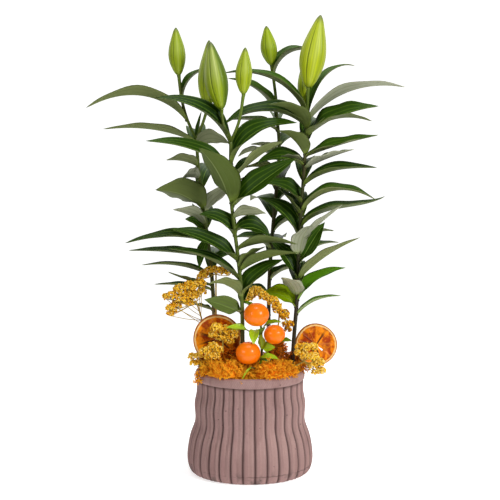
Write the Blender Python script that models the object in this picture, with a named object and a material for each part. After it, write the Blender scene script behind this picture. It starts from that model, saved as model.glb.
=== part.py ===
"""Potted lily: four lily stems in bud, planted in a ribbed pot and dressed with a sprig of
calamondin, dried orange slices, dried yarrow and reindeer moss. Sizes below are in millimetres;
the origin is the centre of the pot's underside, +Z is up and -Y is the front."""
import math
from collections import namedtuple

import bmesh
import bpy
from mathutils import Vector, noise

MM = 0.001
CLEARANCE = 0.4          # between a planted piece and the soil or moss around it

# Pot
POT_HEIGHT = 117.0
POT_FLOOR = 8.0
RIB_COUNT = 32
RIB_TURN = 4.7           # degrees from the front to the nearest groove
GROOVE_DEPTH = 2.2
GROOVE_HALF_WIDTH = 0.85 # degrees
# outer radius of the ribs against height, from the foot to just under the rim band
POT_RIBS = [(59.5, 0.0), (64.5, 1.6), (68.2, 6.0), (70.2, 15.0), (70.0, 27.0), (67.3, 42.5),
            (61.6, 60.0), (62.0, 79.0), (59.7, 93.0), (59.7, 105.8)]
# the smooth rim band, over the lip and down the inner wall to the floor
POT_RIM = [(60.2, 107.2), (61.2, 109.0), (61.2, 114.5), (59.6, 116.8), (56.0, 116.8), (54.4, 114.5),
           (54.0, 106.0), (56.0, 62.0), (62.0, 30.0), (60.0, 8.0)]
RIM_INNER_RADIUS = 54.0

# Soil
SOIL_TOP = 106.0

# Lilies
STEM_RADIUS = 2.5
STALK_RADIUS = 1.7
TUBE_SIDES = 8
LEAF_FOOT = 1.3          # from the stem's axis to the foot of a leaf
LEAF_THICKNESS = 1.0
LEAF_STEPS = 20          # steps in which a leaf's arch is worked out
LEAF_SEGMENTS = 4        # segments that its blade is made of

Leaf = namedtuple("Leaf", "height heading length width rise arch roll bend flick twist fold",
                  defaults=(0, 1.3, 0, 0, 24))

STEMS = {
    "left": [(-34, 16, 60), (-38, 18, 104), (-40, 18, 150), (-42, 18, 205), (-46, 18, 250),
             (-52, 18, 295), (-57, 18, 335), (-60, 17, 376)],
    "front": [(-4, -20, 60), (-6, -21, 104), (-8, -22, 150), (-9, -22, 200), (-13, -22, 245),
              (-18, -22, 285), (-21, -22, 320), (-21, -22, 376)],
    "middle": [(18, 26, 60), (20, 28, 104), (21, 30, 150), (22, 30, 215), (26, 30, 275),
               (30, 30, 320), (33, 30, 362), (30, 28, 400)],
    "right": [(40, -2, 60), (46, -2, 104), (49, -2, 150), (53, -2, 205), (54, -2, 245),
              (57, -2, 300), (60, -2, 345), (63, -2, 397)],
}
# each bud: the route of its stalk, then its tip and its greatest radius
Bud = namedtuple("Bud", "stalk tip radius")
BUDS = {
    "left": {
        "bud_left": Bud([(-60, 17, 374), (-70, 16, 397), (-76, 15, 420), (-79, 15, 446)],
                        (-82, 15, 498), 9.4),
        "bud_left_twin": Bud([(-60, 17, 374), (-52, 11, 394), (-47, 6, 410)],
                             (-45, 4, 484), 10.5),
    },
    "front": {
        "bud_front": Bud([(-21, -22, 374), (-29, -22, 392), (-31, -22, 410)],
                         (-43, -22, 482), 12.5),
        "bud_front_small": Bud([(-21, -22, 374), (-12, -24, 396), (-7, -25, 426)],
                               (-5, -25, 476), 9.0),
    },
    "middle": {
        "bud_middle": Bud([(30, 28, 398), (29, 26, 420), (24, 25, 457)], (18, 25, 500), 9.0),
    },
    "right": {
        "bud_right": Bud([(63, -2, 395), (63, -4, 412), (64, -6, 433)], (77, -8, 511), 14.0),
        "bud_right_rear": Bud([(63, -2, 395), (63, 6, 402), (62, 13, 410)], (62, 22, 466), 8.5),
    },
}
# how a bud swells from its stalk (0) to its tip (1)
BUD_OUTLINE = [(0.0, 0.24), (0.04, 0.42), (0.12, 0.64), (0.26, 0.90), (0.41, 1.0), (0.56, 0.92),
               (0.70, 0.73), (0.83, 0.50), (0.94, 0.28)]
BUD_SIDES = 12
BUD_LOBE = 0.06

LEAVES = {
    "right": [
        Leaf(396, -5, 120, 25, 51, 63, roll=-16, bend=1.15),
        Leaf(379, -20, 90, 34, 42, 36, roll=26),
        Leaf(381, 20, 84, 22, 42, 60),
        Leaf(357, -5, 84, 24, 22, 10, roll=20),
        Leaf(344, -15, 60, 22, 28, 12),
        Leaf(325, -10, 86, 27, 42, 42, roll=12, bend=2.2),
        Leaf(296, -5, 92, 27, 57, 88, roll=10),
        Leaf(279, 5, 102, 26, 48, 50, roll=5, bend=3, flick=34),
        Leaf(263, -20, 64, 14, 44, 6, roll=-15),
        Leaf(248, 310, 44, 28, 88, 90, bend=0.6, fold=12),
        Leaf(236, 20, 56, 26, 62, 10, roll=40),
        Leaf(258, 50, 66, 16, 32, 42),
        Leaf(242, 45, 70, 16, 34, 42),
        Leaf(220, -30, 92, 21, 46, 22, roll=-10),
        Leaf(196, 10, 68, 22, 62, 54, roll=25),
        Leaf(180, -5, 56, 12, 52, 52),
        Leaf(202, 235, 38, 26, 66, 50, fold=12),
        Leaf(266, 165, 67, 30, 72, 52, roll=-20),
        Leaf(305, 175, 52, 30, 58, 58, roll=-25),
        Leaf(347, 180, 55, 26, 35, 62, roll=-30),
        Leaf(293, 170, 38, 20, 60, 20),
        Leaf(402, 182, 112, 23, 69, 78, roll=-10),
        Leaf(387, 215, 62, 28, 62, 62),
        Leaf(390, 178, 102, 30, 42, 78, roll=-20),
        Leaf(359, 225, 53, 26, 60, 50),
        Leaf(219, 160, 57, 28, 72, 34, roll=-25),
        Leaf(188, 163, 44, 26, 58, 72, roll=-35),
        Leaf(398, 35, 100, 15, 84, 112, bend=0.7),
        Leaf(350, 175, 28, 14, 35, 40, roll=10),
        Leaf(372, 75, 84, 24, 58, 80),
        Leaf(330, 85, 88, 24, 50, 76),
        Leaf(288, 95, 86, 24, 48, 70),
        Leaf(212, 90, 70, 22, 50, 66),
    ],
    "front": [
        Leaf(373, 185, 100, 30, 66, 64, roll=-25),
        Leaf(350, 0, 92, 30, 74, 78, roll=30),
        Leaf(343, 190, 100, 26, 40, 38, roll=-25),
        Leaf(307, 215, 76, 37, 72, 38, roll=28, bend=0.8),
        Leaf(331, 10, 72, 28, 50, 24, roll=30, twist=-90),
        Leaf(303, -2, 88, 32, 44, 12, roll=45),
        Leaf(291, 335, 40, 20, 24, 28, roll=-45),
        Leaf(271, 190, 48, 30, 62, 56, roll=-35),
        Leaf(276, 5, 42, 28, 28, 72, roll=35),
        Leaf(243, 190, 84, 28, 40, 25, roll=-30),
        Leaf(256, -10, 68, 24, 24, 34, roll=-20),
        Leaf(222, 190, 90, 22, 46, 40, roll=-14),
        Leaf(235, -10, 38, 24, 60, 35),
        Leaf(232, -15, 70, 24, 36, 32, roll=-20),
        Leaf(205, 5, 61, 30, 58, 32, roll=25),
        Leaf(202, 205, 46, 20, 64, 72, roll=24),
        Leaf(195, 55, 34, 14, 74, 20),
        Leaf(185, 186, 44, 22, 26, 10, roll=-60),
    ],
    "left": [
        Leaf(420, 25, 64, 15, 88, 96),
        Leaf(396, 180, 124, 27, 50, 80, roll=20),
        Leaf(372, 182, 106, 22, 25, 32, roll=10),
        Leaf(372, 20, 34, 9, 88, 10),
        Leaf(367, -15, 38, 30, 30, 45, roll=-35),
        Leaf(345, 195, 37, 24, 30, 35, roll=15),
        Leaf(331, 205, 20, 24, 25, 40, roll=35),
        Leaf(296, 200, 62, 40, 50, 50, roll=45),
        Leaf(279, 186, 40, 28, 42, 30, roll=30),
        Leaf(293, 10, 44, 26, 48, 10, roll=-45),
        Leaf(268, 203, 32, 24, 60, 45, roll=-40),
        Leaf(260, 182, 94, 20, 16, 32, roll=-15),
        Leaf(242, 178, 92, 18, 11, 12, roll=-15),
        Leaf(221, 180, 81, 16, 27, 34),
        Leaf(210, 185, 52, 13, 10, -15),
        Leaf(205, 180, 66, 13, 14, 16),
        Leaf(262, 240, 36, 14, -50, 20),
        Leaf(236, 10, 30, 16, 35, 25, roll=25),
        Leaf(182, 185, 26, 12, 20, 5),
        Leaf(362, 95, 86, 24, 52, 76),
        Leaf(318, 80, 90, 24, 50, 74),
        Leaf(274, 100, 84, 24, 46, 70),
        Leaf(226, 85, 72, 22, 48, 62),
    ],
    "middle": [
        Leaf(446, 12, 64, 25, 80, 106, roll=5, bend=1.1),
        Leaf(401, 178, 72, 22, 72, 64, roll=-10),
        Leaf(384, 182, 54, 20, 36, 42, roll=-10),
        Leaf(358, 200, 36, 20, 40, 40),
        Leaf(334, 190, 40, 22, 45, 60, roll=10),
        Leaf(322, 185, 44, 18, 20, 20, roll=40),
        Leaf(300, 30, 40, 22, 60, 60),
        Leaf(270, 20, 50, 24, 50, 60),
        Leaf(250, 180, 45, 24, 50, 60, roll=-10),
        Leaf(215, 10, 35, 22, 50, 50),
        Leaf(195, 180, 35, 22, 50, 60),
        Leaf(392, 90, 90, 18, 25, 50),
        Leaf(366, 65, 84, 20, 28, 52),
        Leaf(350, 125, 84, 20, 28, 52),
        Leaf(316, 80, 88, 24, 50, 72),
        Leaf(284, 110, 84, 24, 48, 70),
        Leaf(240, 75, 76, 22, 48, 66),
    ],
}

# Calamondin
Fruit = namedtuple("Fruit", "centre radius")
FRUITS = {
    "calamondin_top": Fruit((7, -35, 185), 14.2),
    "calamondin_right": Fruit((27, -30, 162), 12.0),
    "calamondin_low": Fruit((-2, -40, 143), 13.9),
}
FRUIT_SQUASH = 0.92
TWIG_RADIUS = 1.3
TWIG_ROUTES = [
    [(12, -30, 85), (13, -23, 118), (13, -17, 150), (12, -16.5, 170), (9.6, -18.9, 178.9),
     (9.1, -21.7, 180.0)],
    [(13, -18, 142), (16.5, -18.5, 149), (20.4, -22.2, 154.0)],
    [(13, -22, 122), (10, -27, 130), (5.6, -32.5, 134.7)],
    [(13, -17, 158), (4, -24, 164), (0, -30, 165)],
]
# leaves of the sprig: where each joins the twig, where its blade starts, and its blade
SprigLeaf = namedtuple("SprigLeaf", "joint foot blade")
SPRIG_LEAVES = [
    SprigLeaf((0, -30, 165), (-4, -33, 168), Leaf(0, 193, 23, 10, 15, 12, roll=60)),
    SprigLeaf((0, -30, 165), (5, -33, 167), Leaf(0, 266, 21, 12, -10, 55)),
    SprigLeaf((13, -18, 156), (7, -27, 159), Leaf(0, 350, 15, 8, 50, 5, roll=60)),
    SprigLeaf((13, -17, 160), (16, -18, 170), Leaf(0, 350, 20, 8, 30, 30, roll=20)),
    SprigLeaf((20, -21.5, 153), (34, -21, 152), Leaf(0, 345, 13, 7, 25, 30, roll=20)),
    SprigLeaf((13, -19, 140), (12.5, -27, 145), Leaf(0, 240, 18, 10, 80, -8)),
    SprigLeaf((13, -20, 136), (14, -30, 146), Leaf(0, 340, 15, 11, 15, 10, roll=65)),
    SprigLeaf((13, -21.5, 127), (11, -35, 136), Leaf(0, 345, 22, 9, 25, 45, roll=35)),
    SprigLeaf((13, -22, 121), (8, -38, 129), Leaf(0, 352, 18, 7, 28, 8, roll=35)),
    SprigLeaf((11.5, -16.8, 173), (3, -18, 190), Leaf(0, 180, 14, 11, 50, 40)),
    SprigLeaf((13, -22.5, 119), (1, -49, 129), Leaf(0, 229, 18, 4, -28, 15)),
]

# Dried orange slices
Slice = namedtuple("Slice", "centre radius turn lean")
SLICES = {
    "orange_slice_left": Slice((-36, -12, 154), 27.5, 0, -4),
    "orange_slice_right": Slice((74, 5, 144), 24.0, 8, 3),
}
SLICE_THICKNESS = 4.0
SLICE_SIDES = 30

# Dried yarrow: each head's centre and half sizes, then its stalk down into the soil
Yarrow = namedtuple("Yarrow", "centre half_size stalk")
YARROW = {
    "yarrow_left": Yarrow((-72, -4, 202), (23, 11, 18),
                          [(-60, -1, 194), (-54, 4, 172), (-50, 7, 145), (-46, 8, 108), (-46, 8, 85)]),
    "yarrow_upper": Yarrow((-38, 2, 226), (19, 8, 6.5),
                           [(-38, 2, 225), (-38, 1, 200), (-37, 0, 160), (-30, -1, 108), (-29, -1, 85)]),
    "yarrow_slice": Yarrow((-29, -26, 163), (16, 8, 12),
                           [(-30, -26, 158), (-30, -26, 130), (-29, -25, 85)]),
    "yarrow_front": Yarrow((-43, -37, 145), (12, 8, 10),
                           [(-43, -36, 142), (-40, -31, 118), (-38, -29, 85)]),
    "yarrow_side": Yarrow((-60, -25, 133), (8, 7, 9.5),
                          [(-59, -24, 131), (-49, -18, 118), (-46, -16, 85)]),
    "yarrow_right": Yarrow((66, -23, 134), (16, 9, 15),
                           [(60, -21, 130), (47, -17, 119), (43, -15, 85)]),
}
YARROW_STALK_RADIUS = 0.9
# the long head that bows over behind the fruits
BOW_ROUTE = [(-3, -9, 203), (8, -10, 207), (21, -14, 200), (33, -16, 187), (41, -15, 173), (44, -14, 162)]
BOW_RADIUS = 7.0
BOW_STALK = [(33, -16, 187), (30, -12, 150), (27, -8, 108), (27, -8, 85)]

# Reindeer moss: each clump's centre on the soil or rim and its half sizes
Moss = namedtuple("Moss", "centre half_size")
MOSS = {
    "moss_front_left": Moss((-31, -42, 114), (27, 18, 20)),
    "moss_front_right": Moss((28, -41, 114), (25, 18, 19)),
    "moss_middle": Moss((28, -9, 112), (12, 10, 34)),
    "moss_right": Moss((50, 16, 112), (13, 19, 18)),
    "moss_left": Moss((-38, -4, 112), (17, 16, 32)),
    "moss_back": Moss((-2, 38, 111), (34, 17, 14)),
}


# Meshes ------------------------------------------------------------------------------------

def material(name, colour, roughness):
    finish = bpy.data.materials.new(name)
    finish.use_nodes = True
    shader = finish.node_tree.nodes["Principled BSDF"]
    shader.inputs["Base Color"].default_value = (*colour, 1.0)
    shader.inputs["Roughness"].default_value = roughness
    shader.inputs["Metallic"].default_value = 0.0
    return finish


def solid(name, points, faces):
    """A closed mesh object from points in millimetres, with its faces turned outwards."""
    mesh = bpy.data.meshes.new(name)
    mesh.from_pydata([Vector(p) * MM for p in points], [], faces)
    shape = bmesh.new()
    shape.from_mesh(mesh)
    bmesh.ops.recalc_face_normals(shape, faces=shape.faces)
    shape.to_mesh(mesh)
    shape.free()
    thing = bpy.data.objects.new(name, mesh)
    bpy.context.scene.collection.objects.link(thing)
    return thing


def finish(thing, surface):
    thing.data.materials.clear()
    thing.data.materials.append(surface)
    thing.data.shade_smooth()
    thing.data.set_sharp_from_angle(angle=math.radians(40))
    return thing


def remove(thing):
    mesh = thing.data
    bpy.data.objects.remove(thing)
    bpy.data.meshes.remove(mesh)


def join(pieces):
    """One object that holds the meshes of several, which are removed."""
    shape = bmesh.new()
    for piece in pieces:
        shape.from_mesh(piece.data)
    shape.to_mesh(pieces[0].data)
    shape.free()
    for piece in pieces[1:]:
        remove(piece)
    return pieces[0]


def combine(thing, other, operation):
    """Apply a Boolean of thing with other, and remove other. EXACT loses the stem where many
    blades meet in it and skips some of the holes in the moss, so the solver is MANIFOLD."""
    other.hide_render = True
    other.display_type = "WIRE"
    change = thing.modifiers.new("combine", "BOOLEAN")
    change.solver = "MANIFOLD"
    change.operation = operation
    change.object = other
    bpy.context.view_layer.update()
    result = bpy.data.meshes.new_from_object(thing.evaluated_get(bpy.context.evaluated_depsgraph_get()))
    thing.modifiers.clear()
    old = thing.data
    thing.data = result
    bpy.data.meshes.remove(old)
    remove(other)
    return thing


def grow_together(thing, grown):
    """Unite a stem with what grows from it, one piece after the other."""
    for piece in grown:
        combine(thing, piece, "UNION")
    return fill_pockets(thing)


def fill_pockets(thing):
    """Fill the small sealed pockets that crossing leaves close off, keeping the outer shell."""
    shape = bmesh.new()
    shape.from_mesh(thing.data)
    shells = []
    left = set(shape.verts)
    while left:
        shell, edge = set(), [left.pop()]
        while edge:
            point = edge.pop()
            shell.add(point)
            near = {line.other_vert(point) for line in point.link_edges} & left
            left -= near
            edge.extend(near)
        shells.append(shell)
    outer = max(shells, key=len)
    bmesh.ops.delete(shape, geom=[point for point in shape.verts if point not in outer], context="VERTS")
    shape.to_mesh(thing.data)
    shape.free()
    return thing


def bridge(count, rings):
    """Faces between rings of count points each."""
    faces = []
    for ring in range(rings - 1):
        for k in range(count):
            a = ring * count + k
            b = ring * count + (k + 1) % count
            faces.append((a, b, b + count, a + count))
    return faces


def smooth_route(points, steps):
    """A Catmull-Rom curve through the points, with steps to each stretch."""
    ends = [Vector(points[0])] + [Vector(p) for p in points] + [Vector(points[-1])]
    route = []
    for before, start, end, after in zip(ends, ends[1:], ends[2:], ends[3:]):
        for k in range(steps):
            t = k / steps
            route.append(0.5 * (2 * start + (end - before) * t
                                + (2 * before - 5 * start + 4 * end - after) * t * t
                                + (3 * start - before - 3 * end + after) * t ** 3))
    route.append(Vector(points[-1]))
    return route


def tube(name, route, radius, sides=TUBE_SIDES):
    """A closed tube along a route; radius is one number or one for each point."""
    radii = radius if isinstance(radius, list) else [radius] * len(route)
    points = []
    side = Vector((1, 0, 0))
    for k, centre in enumerate(route):
        along = (route[min(k + 1, len(route) - 1)] - route[max(k - 1, 0)]).normalized()
        side = (side - along * side.dot(along)).normalized()
        up = along.cross(side)
        for j in range(sides):
            turn = 2 * math.pi * j / sides
            points.append(centre + (side * math.cos(turn) + up * math.sin(turn)) * radii[k])
    last = (len(route) - 1) * sides
    faces = bridge(sides, len(route))
    faces.append(tuple(range(sides)))
    faces.append(tuple(range(last, last + sides)))
    return solid(name, points, faces)


def lump(name, centre, half_size, bump, rings=7, sides=12, flat_bottom=False):
    """A closed knobbly ellipsoid, or the upper half of one."""
    points = []
    lowest = 0.0 if flat_bottom else -math.pi / 2
    levels = [lowest + (math.pi / 2 - lowest) * (k + (0 if flat_bottom else 1)) / rings
              for k in range(rings)]
    for level in levels:
        if level > math.pi / 2 - 0.01:
            continue
        for j in range(sides):
            turn = 2 * math.pi * (j + 0.5 * (levels.index(level) % 2)) / sides
            out = Vector((math.cos(level) * math.cos(turn), math.cos(level) * math.sin(turn),
                          math.sin(level)))
            swell = 1.0 + bump * noise.noise(out * 2.3 + Vector(centre) * 0.11)
            points.append(Vector(centre) + Vector([out[a] * half_size[a] * swell for a in range(3)]))
    count = len(points) // sides
    faces = bridge(sides, count)
    points.append(Vector(centre) + Vector((0, 0, half_size[2])))
    top = len(points) - 1
    faces += [((count - 1) * sides + j, (count - 1) * sides + (j + 1) % sides, top) for j in range(sides)]
    if flat_bottom:
        faces.append(tuple(range(sides)))
    else:
        points.append(Vector(centre) - Vector((0, 0, half_size[2])))
        faces += [((j + 1) % sides, j, top + 1) for j in range(sides)]
    return solid(name, points, faces)


# Pot and soil ------------------------------------------------------------------------------

def build_pot():
    points = []
    count = RIB_COUNT * 3
    pitch = 360 / RIB_COUNT
    for row, (radius, height) in enumerate(POT_RIBS + POT_RIM):
        ribbed = 0 < row < len(POT_RIBS)
        for rib in range(RIB_COUNT):
            for offset in (-GROOVE_HALF_WIDTH, 0, GROOVE_HALF_WIDTH):
                turn = math.radians(RIB_TURN - 90 + rib * pitch + offset)
                depth = GROOVE_DEPTH if ribbed and offset == 0 else 0
                points.append(((radius - depth) * math.cos(turn), (radius - depth) * math.sin(turn),
                               height))
    rows = len(POT_RIBS) + len(POT_RIM)
    faces = bridge(count, rows)
    faces.append(tuple(range(count)))
    faces.append(tuple(range((rows - 1) * count, rows * count)))
    return solid("pot", points, faces)


def planted_routes():
    """What stands in the soil: route and radius of each stem, stalk and twig."""
    routes = [(smooth_route(points, 3)[:7], STEM_RADIUS) for points in STEMS.values()]
    routes += [(smooth_route(head.stalk, 3), YARROW_STALK_RADIUS) for head in YARROW.values()]
    routes.append((smooth_route(BOW_STALK, 3), YARROW_STALK_RADIUS))
    routes.append((smooth_route(TWIG_ROUTES[0], 3)[:7], TWIG_RADIUS))
    return routes


def planting_holes():
    """The room that stems, stalks and twig need in the soil and moss, as one cutter."""
    holes = []
    for route, radius in planted_routes():
        if route[0].z > route[-1].z:
            route = route[::-1]
        lower = route[0] - (route[1] - route[0]).normalized() * CLEARANCE
        holes.append(tube("hole", [lower] + route[1:], radius + CLEARANCE))
    return join(holes)


def build_soil():
    inner_wall = [row for row in POT_RIM if row[1] <= SOIL_TOP][::-1]
    profile = [(radius - CLEARANCE, max(height, POT_FLOOR + CLEARANCE)) for radius, height in inner_wall]
    sides = RIB_COUNT
    points = []
    for radius, height in profile:
        for j in range(sides):
            turn = 2 * math.pi * j / sides
            points.append((radius * math.cos(turn), radius * math.sin(turn), height))
    last = (len(profile) - 1) * sides
    faces = bridge(sides, len(profile))
    faces.append(tuple(range(sides)))
    faces.append(tuple(range(last, last + sides)))
    return combine(solid("potting_soil", points, faces), planting_holes(), "DIFFERENCE")


# Lilies ------------------------------------------------------------------------------------

def blade_width(width, t):
    """Half the blade's width at t from its foot (0) to its tip (1)."""
    foot, tip = 0.75, 1.15
    widest = foot / (foot + tip)
    return 0.5 * width * (t + 0.03) ** foot * (1 - t) ** tip / (widest ** foot * (1 - widest) ** tip)


def leaf_spine(start, leaf):
    """Points along the midrib with the blade's side and upper directions."""
    place = Vector(start)
    spine = []
    for k in range(LEAF_STEPS + 1):
        t = k / LEAF_STEPS
        rise = math.radians(leaf.rise - leaf.arch * (1 - (1 - t) ** leaf.bend) + leaf.flick * t ** 3)
        turn = math.radians(leaf.heading)
        along = Vector((math.cos(rise) * math.cos(turn), math.cos(rise) * math.sin(turn),
                        math.sin(rise)))
        side = Vector((-math.sin(turn), math.cos(turn), 0))
        up = along.cross(side)
        roll = math.radians(leaf.roll * min(1, 4 * t) + leaf.twist * t)
        spine.append((place.copy(), side * math.cos(roll) + up * math.sin(roll),
                      up * math.cos(roll) - side * math.sin(roll), t))
        place += along * leaf.length / LEAF_STEPS
    return spine


def build_leaf(start, leaf, turning=True):
    """A blade with a keel: its edges stand up from the midrib.

    A turning blade has its upper and lower faces split the same way, so it never crosses itself.
    """
    spine = leaf_spine(start, leaf)[::LEAF_STEPS // LEAF_SEGMENTS]
    points = []
    for place, side, up, t in spine[:-1]:
        half = blade_width(leaf.width, t)
        fold = math.radians(leaf.fold * (1 - 0.6 * t))
        edge = up * half * math.sin(fold)
        half_thick = up * LEAF_THICKNESS * 0.5
        points += [place - side * half * math.cos(fold) + edge, place - half_thick,
                   place + side * half * math.cos(fold) + edge, place + half_thick]
    points.append(spine[-1][0])
    last = len(points) - 5
    if turning:
        faces = [(0, 1, 3), (1, 2, 3)]
        for k in range(0, last, 4):
            faces += [(k, k + 1, k + 5), (k, k + 5, k + 4), (k + 1, k + 2, k + 5), (k + 2, k + 6, k + 5),
                      (k + 2, k + 3, k + 7), (k + 2, k + 7, k + 6), (k + 3, k, k + 7), (k, k + 4, k + 7)]
    else:
        faces = bridge(4, LEAF_SEGMENTS) + [(0, 1, 2, 3)]
    faces += [(last + j, last + (j + 1) % 4, last + 4) for j in range(4)]
    return solid("leaf", points, faces)


def point_at_height(route, height):
    for lower, upper in zip(route, route[1:]):
        if lower.z <= height <= upper.z:
            return lower.lerp(upper, (height - lower.z) / (upper.z - lower.z))
    return route[-1]


def bud_axis(bud):
    return (Vector(bud.tip) - Vector(bud.stalk[-1])).normalized()


def stalk_route(bud):
    """The stalk's curve, which meets the bud square to its axis."""
    route = smooth_route(bud.stalk, 2)
    return route[:-1] + [route[-1] - bud_axis(bud) * 2, route[-1]]


def build_lily(lily):
    """A stem with its bud stalks and leaves, grown as one piece."""
    stem_route = smooth_route(STEMS[lily], 3)
    count = len(stem_route)
    radii = [STEM_RADIUS * (1 - 0.25 * k / count) for k in range(count)]
    stem = tube("lily_stem_" + lily, stem_route, radii)
    grown = []
    main_stalk = None
    for bud in BUDS[lily].values():
        stalk = stalk_route(bud)
        main_stalk = main_stalk or stalk
        grown.append(tube("stalk", stalk, STALK_RADIUS))
    whole_route = stem_route + [p for p in main_stalk if p.z > stem_route[-1].z + 1]
    for leaf in LEAVES[lily]:
        turn = math.radians(leaf.heading)
        outwards = Vector((math.cos(turn), math.sin(turn), 0)) * LEAF_FOOT
        grown.append(build_leaf(point_at_height(whole_route, leaf.height) + outwards, leaf))
    return grow_together(stem, grown)


def build_bud(name, bud):
    """Three outer tepals closed to a point: three soft lobes around the axis."""
    foot, tip = Vector(bud.stalk[-1]), Vector(bud.tip)
    axis = bud_axis(bud)
    foot = foot + axis * (CLEARANCE - 0.1)
    side = axis.cross(Vector((0, 1, 0))).normalized()
    across = axis.cross(side)
    points = []
    for along, swell in BUD_OUTLINE:
        centre = foot.lerp(tip, along)
        for j in range(BUD_SIDES):
            turn = 2 * math.pi * j / BUD_SIDES
            radius = bud.radius * swell * (1 + BUD_LOBE * math.cos(3 * turn))
            points.append(centre + (side * math.cos(turn) + across * math.sin(turn)) * radius)
    points.append(tip)
    last = len(points) - 1 - BUD_SIDES
    faces = bridge(BUD_SIDES, len(BUD_OUTLINE))
    faces.append(tuple(range(BUD_SIDES)))
    faces += [(last + j, last + (j + 1) % BUD_SIDES, last + BUD_SIDES) for j in range(BUD_SIDES)]
    return solid(name, points, faces)


# Dressing ----------------------------------------------------------------------------------

def build_sprig():
    """The calamondin twig with its leaves."""
    routes = [smooth_route(points, 3) for points in TWIG_ROUTES]
    twig = tube("calamondin_sprig", routes[0], TWIG_RADIUS, 6)
    grown = [tube("twiglet", route, TWIG_RADIUS * 0.8, 6) for route in routes[1:]]
    for joint, foot, blade in SPRIG_LEAVES:
        grown.append(tube("leaf_stalk", [Vector(joint), Vector(foot)], 0.7, 5))
        grown.append(build_leaf(foot, blade, turning=False))
    return grow_together(twig, grown)


def build_fruit(name, fruit):
    return lump(name, fruit.centre, (fruit.radius, fruit.radius, fruit.radius * FRUIT_SQUASH), 0.0, 8, 16)


def slice_disc(name, cut, grow):
    """An upright disc that faces the front; grow adds to it all round."""
    turn, lean = math.radians(cut.turn), math.radians(cut.lean)
    facing = Vector((math.sin(turn) * math.cos(lean), -math.cos(turn) * math.cos(lean), math.sin(lean)))
    side = Vector((math.cos(turn), math.sin(turn), 0))
    up = side.cross(facing)
    points = []
    half = SLICE_THICKNESS / 2 + grow
    for depth, inset in ((-half, 0.8), (-half + 0.8, 0), (half - 0.8, 0), (half, 0.8)):
        for j in range(SLICE_SIDES):
            angle = 2 * math.pi * j / SLICE_SIDES
            radius = cut.radius + grow - inset
            points.append(Vector(cut.centre) + facing * depth
                          + (side * math.cos(angle) + up * math.sin(angle)) * radius)
    faces = bridge(SLICE_SIDES, 4)
    faces.append(tuple(range(SLICE_SIDES)))
    faces.append(tuple(range(3 * SLICE_SIDES, 4 * SLICE_SIDES)))
    return solid(name, points, faces)


def build_yarrow(name, head):
    crown = lump(name, head.centre, head.half_size, 0.35, 7, 12)
    return combine(crown, tube("stalk", smooth_route(head.stalk, 3), YARROW_STALK_RADIUS, 6), "UNION")


def build_bowed_yarrow():
    route = smooth_route(BOW_ROUTE, 3)
    count = len(route) - 1
    radii = [BOW_RADIUS * (0.45 + 0.55 * math.sin(math.pi * (k + 0.6) / (count + 1.2)) ** 0.5)
             for k in range(count + 1)]
    crown = tube("yarrow_bowed", route, radii, 10)
    return combine(crown, tube("stalk", smooth_route(BOW_STALK, 3), YARROW_STALK_RADIUS, 6), "UNION")


def rim_room():
    """The ring that the pot's rim and wall take up under the moss, as a cutter."""
    profile = [(RIM_INNER_RADIUS - CLEARANCE, 95), (90, 95), (90, POT_HEIGHT + CLEARANCE),
               (RIM_INNER_RADIUS - CLEARANCE, POT_HEIGHT + CLEARANCE)]
    sides = 32
    points = []
    for j in range(sides):
        turn = 2 * math.pi * j / sides
        points += [(radius * math.cos(turn), radius * math.sin(turn), height)
                   for radius, height in profile]
    faces = []
    for j in range(sides):
        for k in range(4):
            a, b = j * 4 + k, j * 4 + (k + 1) % 4
            c, d = ((j + 1) % sides) * 4 + (k + 1) % 4, ((j + 1) % sides) * 4 + k
            faces.append((a, b, c, d))
    return solid("rim_room", points, faces)


def build_moss(name, clump):
    """A clump that lies on the soil, and on the rim where it reaches over it."""
    base = (clump.centre[0], clump.centre[1], SOIL_TOP + CLEARANCE)
    height = clump.centre[2] + clump.half_size[2] - base[2]
    pad = lump(name, base, (clump.half_size[0], clump.half_size[1], height), 0.25, 6, 16, True)
    combine(pad, rim_room(), "DIFFERENCE")
    combine(pad, planting_holes(), "DIFFERENCE")
    for cut in SLICES.values():
        combine(pad, slice_disc("slot", cut, CLEARANCE), "DIFFERENCE")
    return pad


def main():
    for thing in list(bpy.data.objects):
        bpy.data.objects.remove(thing)

    clay = material("mauve concrete", (0.386, 0.235, 0.202), 0.85)
    earth = material("potting soil", (0.03, 0.018, 0.012), 0.95)
    green = material("lily green", (0.045, 0.1, 0.018), 0.45)
    bud_green = material("bud green", (0.45, 0.5, 0.05), 0.4)
    peel = material("calamondin peel", (1.0, 0.27, 0.02), 0.35)
    sprig_green = material("calamondin green", (0.22, 0.36, 0.02), 0.4)
    dried_orange = material("dried orange", (0.6, 0.2, 0.02), 0.6)
    yarrow_gold = material("yarrow gold", (0.68, 0.42, 0.07), 0.9)
    moss_rust = material("moss rust", (0.6, 0.2, 0.01), 0.95)

    finish(build_pot(), clay)
    finish(build_soil(), earth)
    for lily in STEMS:
        finish(build_lily(lily), green)
        for name, bud in BUDS[lily].items():
            finish(build_bud(name, bud), bud_green)
    finish(build_sprig(), sprig_green)
    for name, fruit in FRUITS.items():
        finish(build_fruit(name, fruit), peel)
    for name, cut in SLICES.items():
        finish(slice_disc(name, cut, 0.0), dried_orange)
    for name, head in YARROW.items():
        finish(build_yarrow(name, head), yarrow_gold)
    finish(build_bowed_yarrow(), yarrow_gold)
    for name, clump in MOSS.items():
        finish(build_moss(name, clump), moss_rust)


main()
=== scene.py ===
"""Potted lily: the finish of a planted pot of lilies in bud, dressed with calamondins, dried
orange slices, dried yarrow and reindeer moss. Lengths in the tables are millimetres."""
import math
from collections import namedtuple

import bpy
import numpy as np
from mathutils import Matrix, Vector, noise


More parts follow.
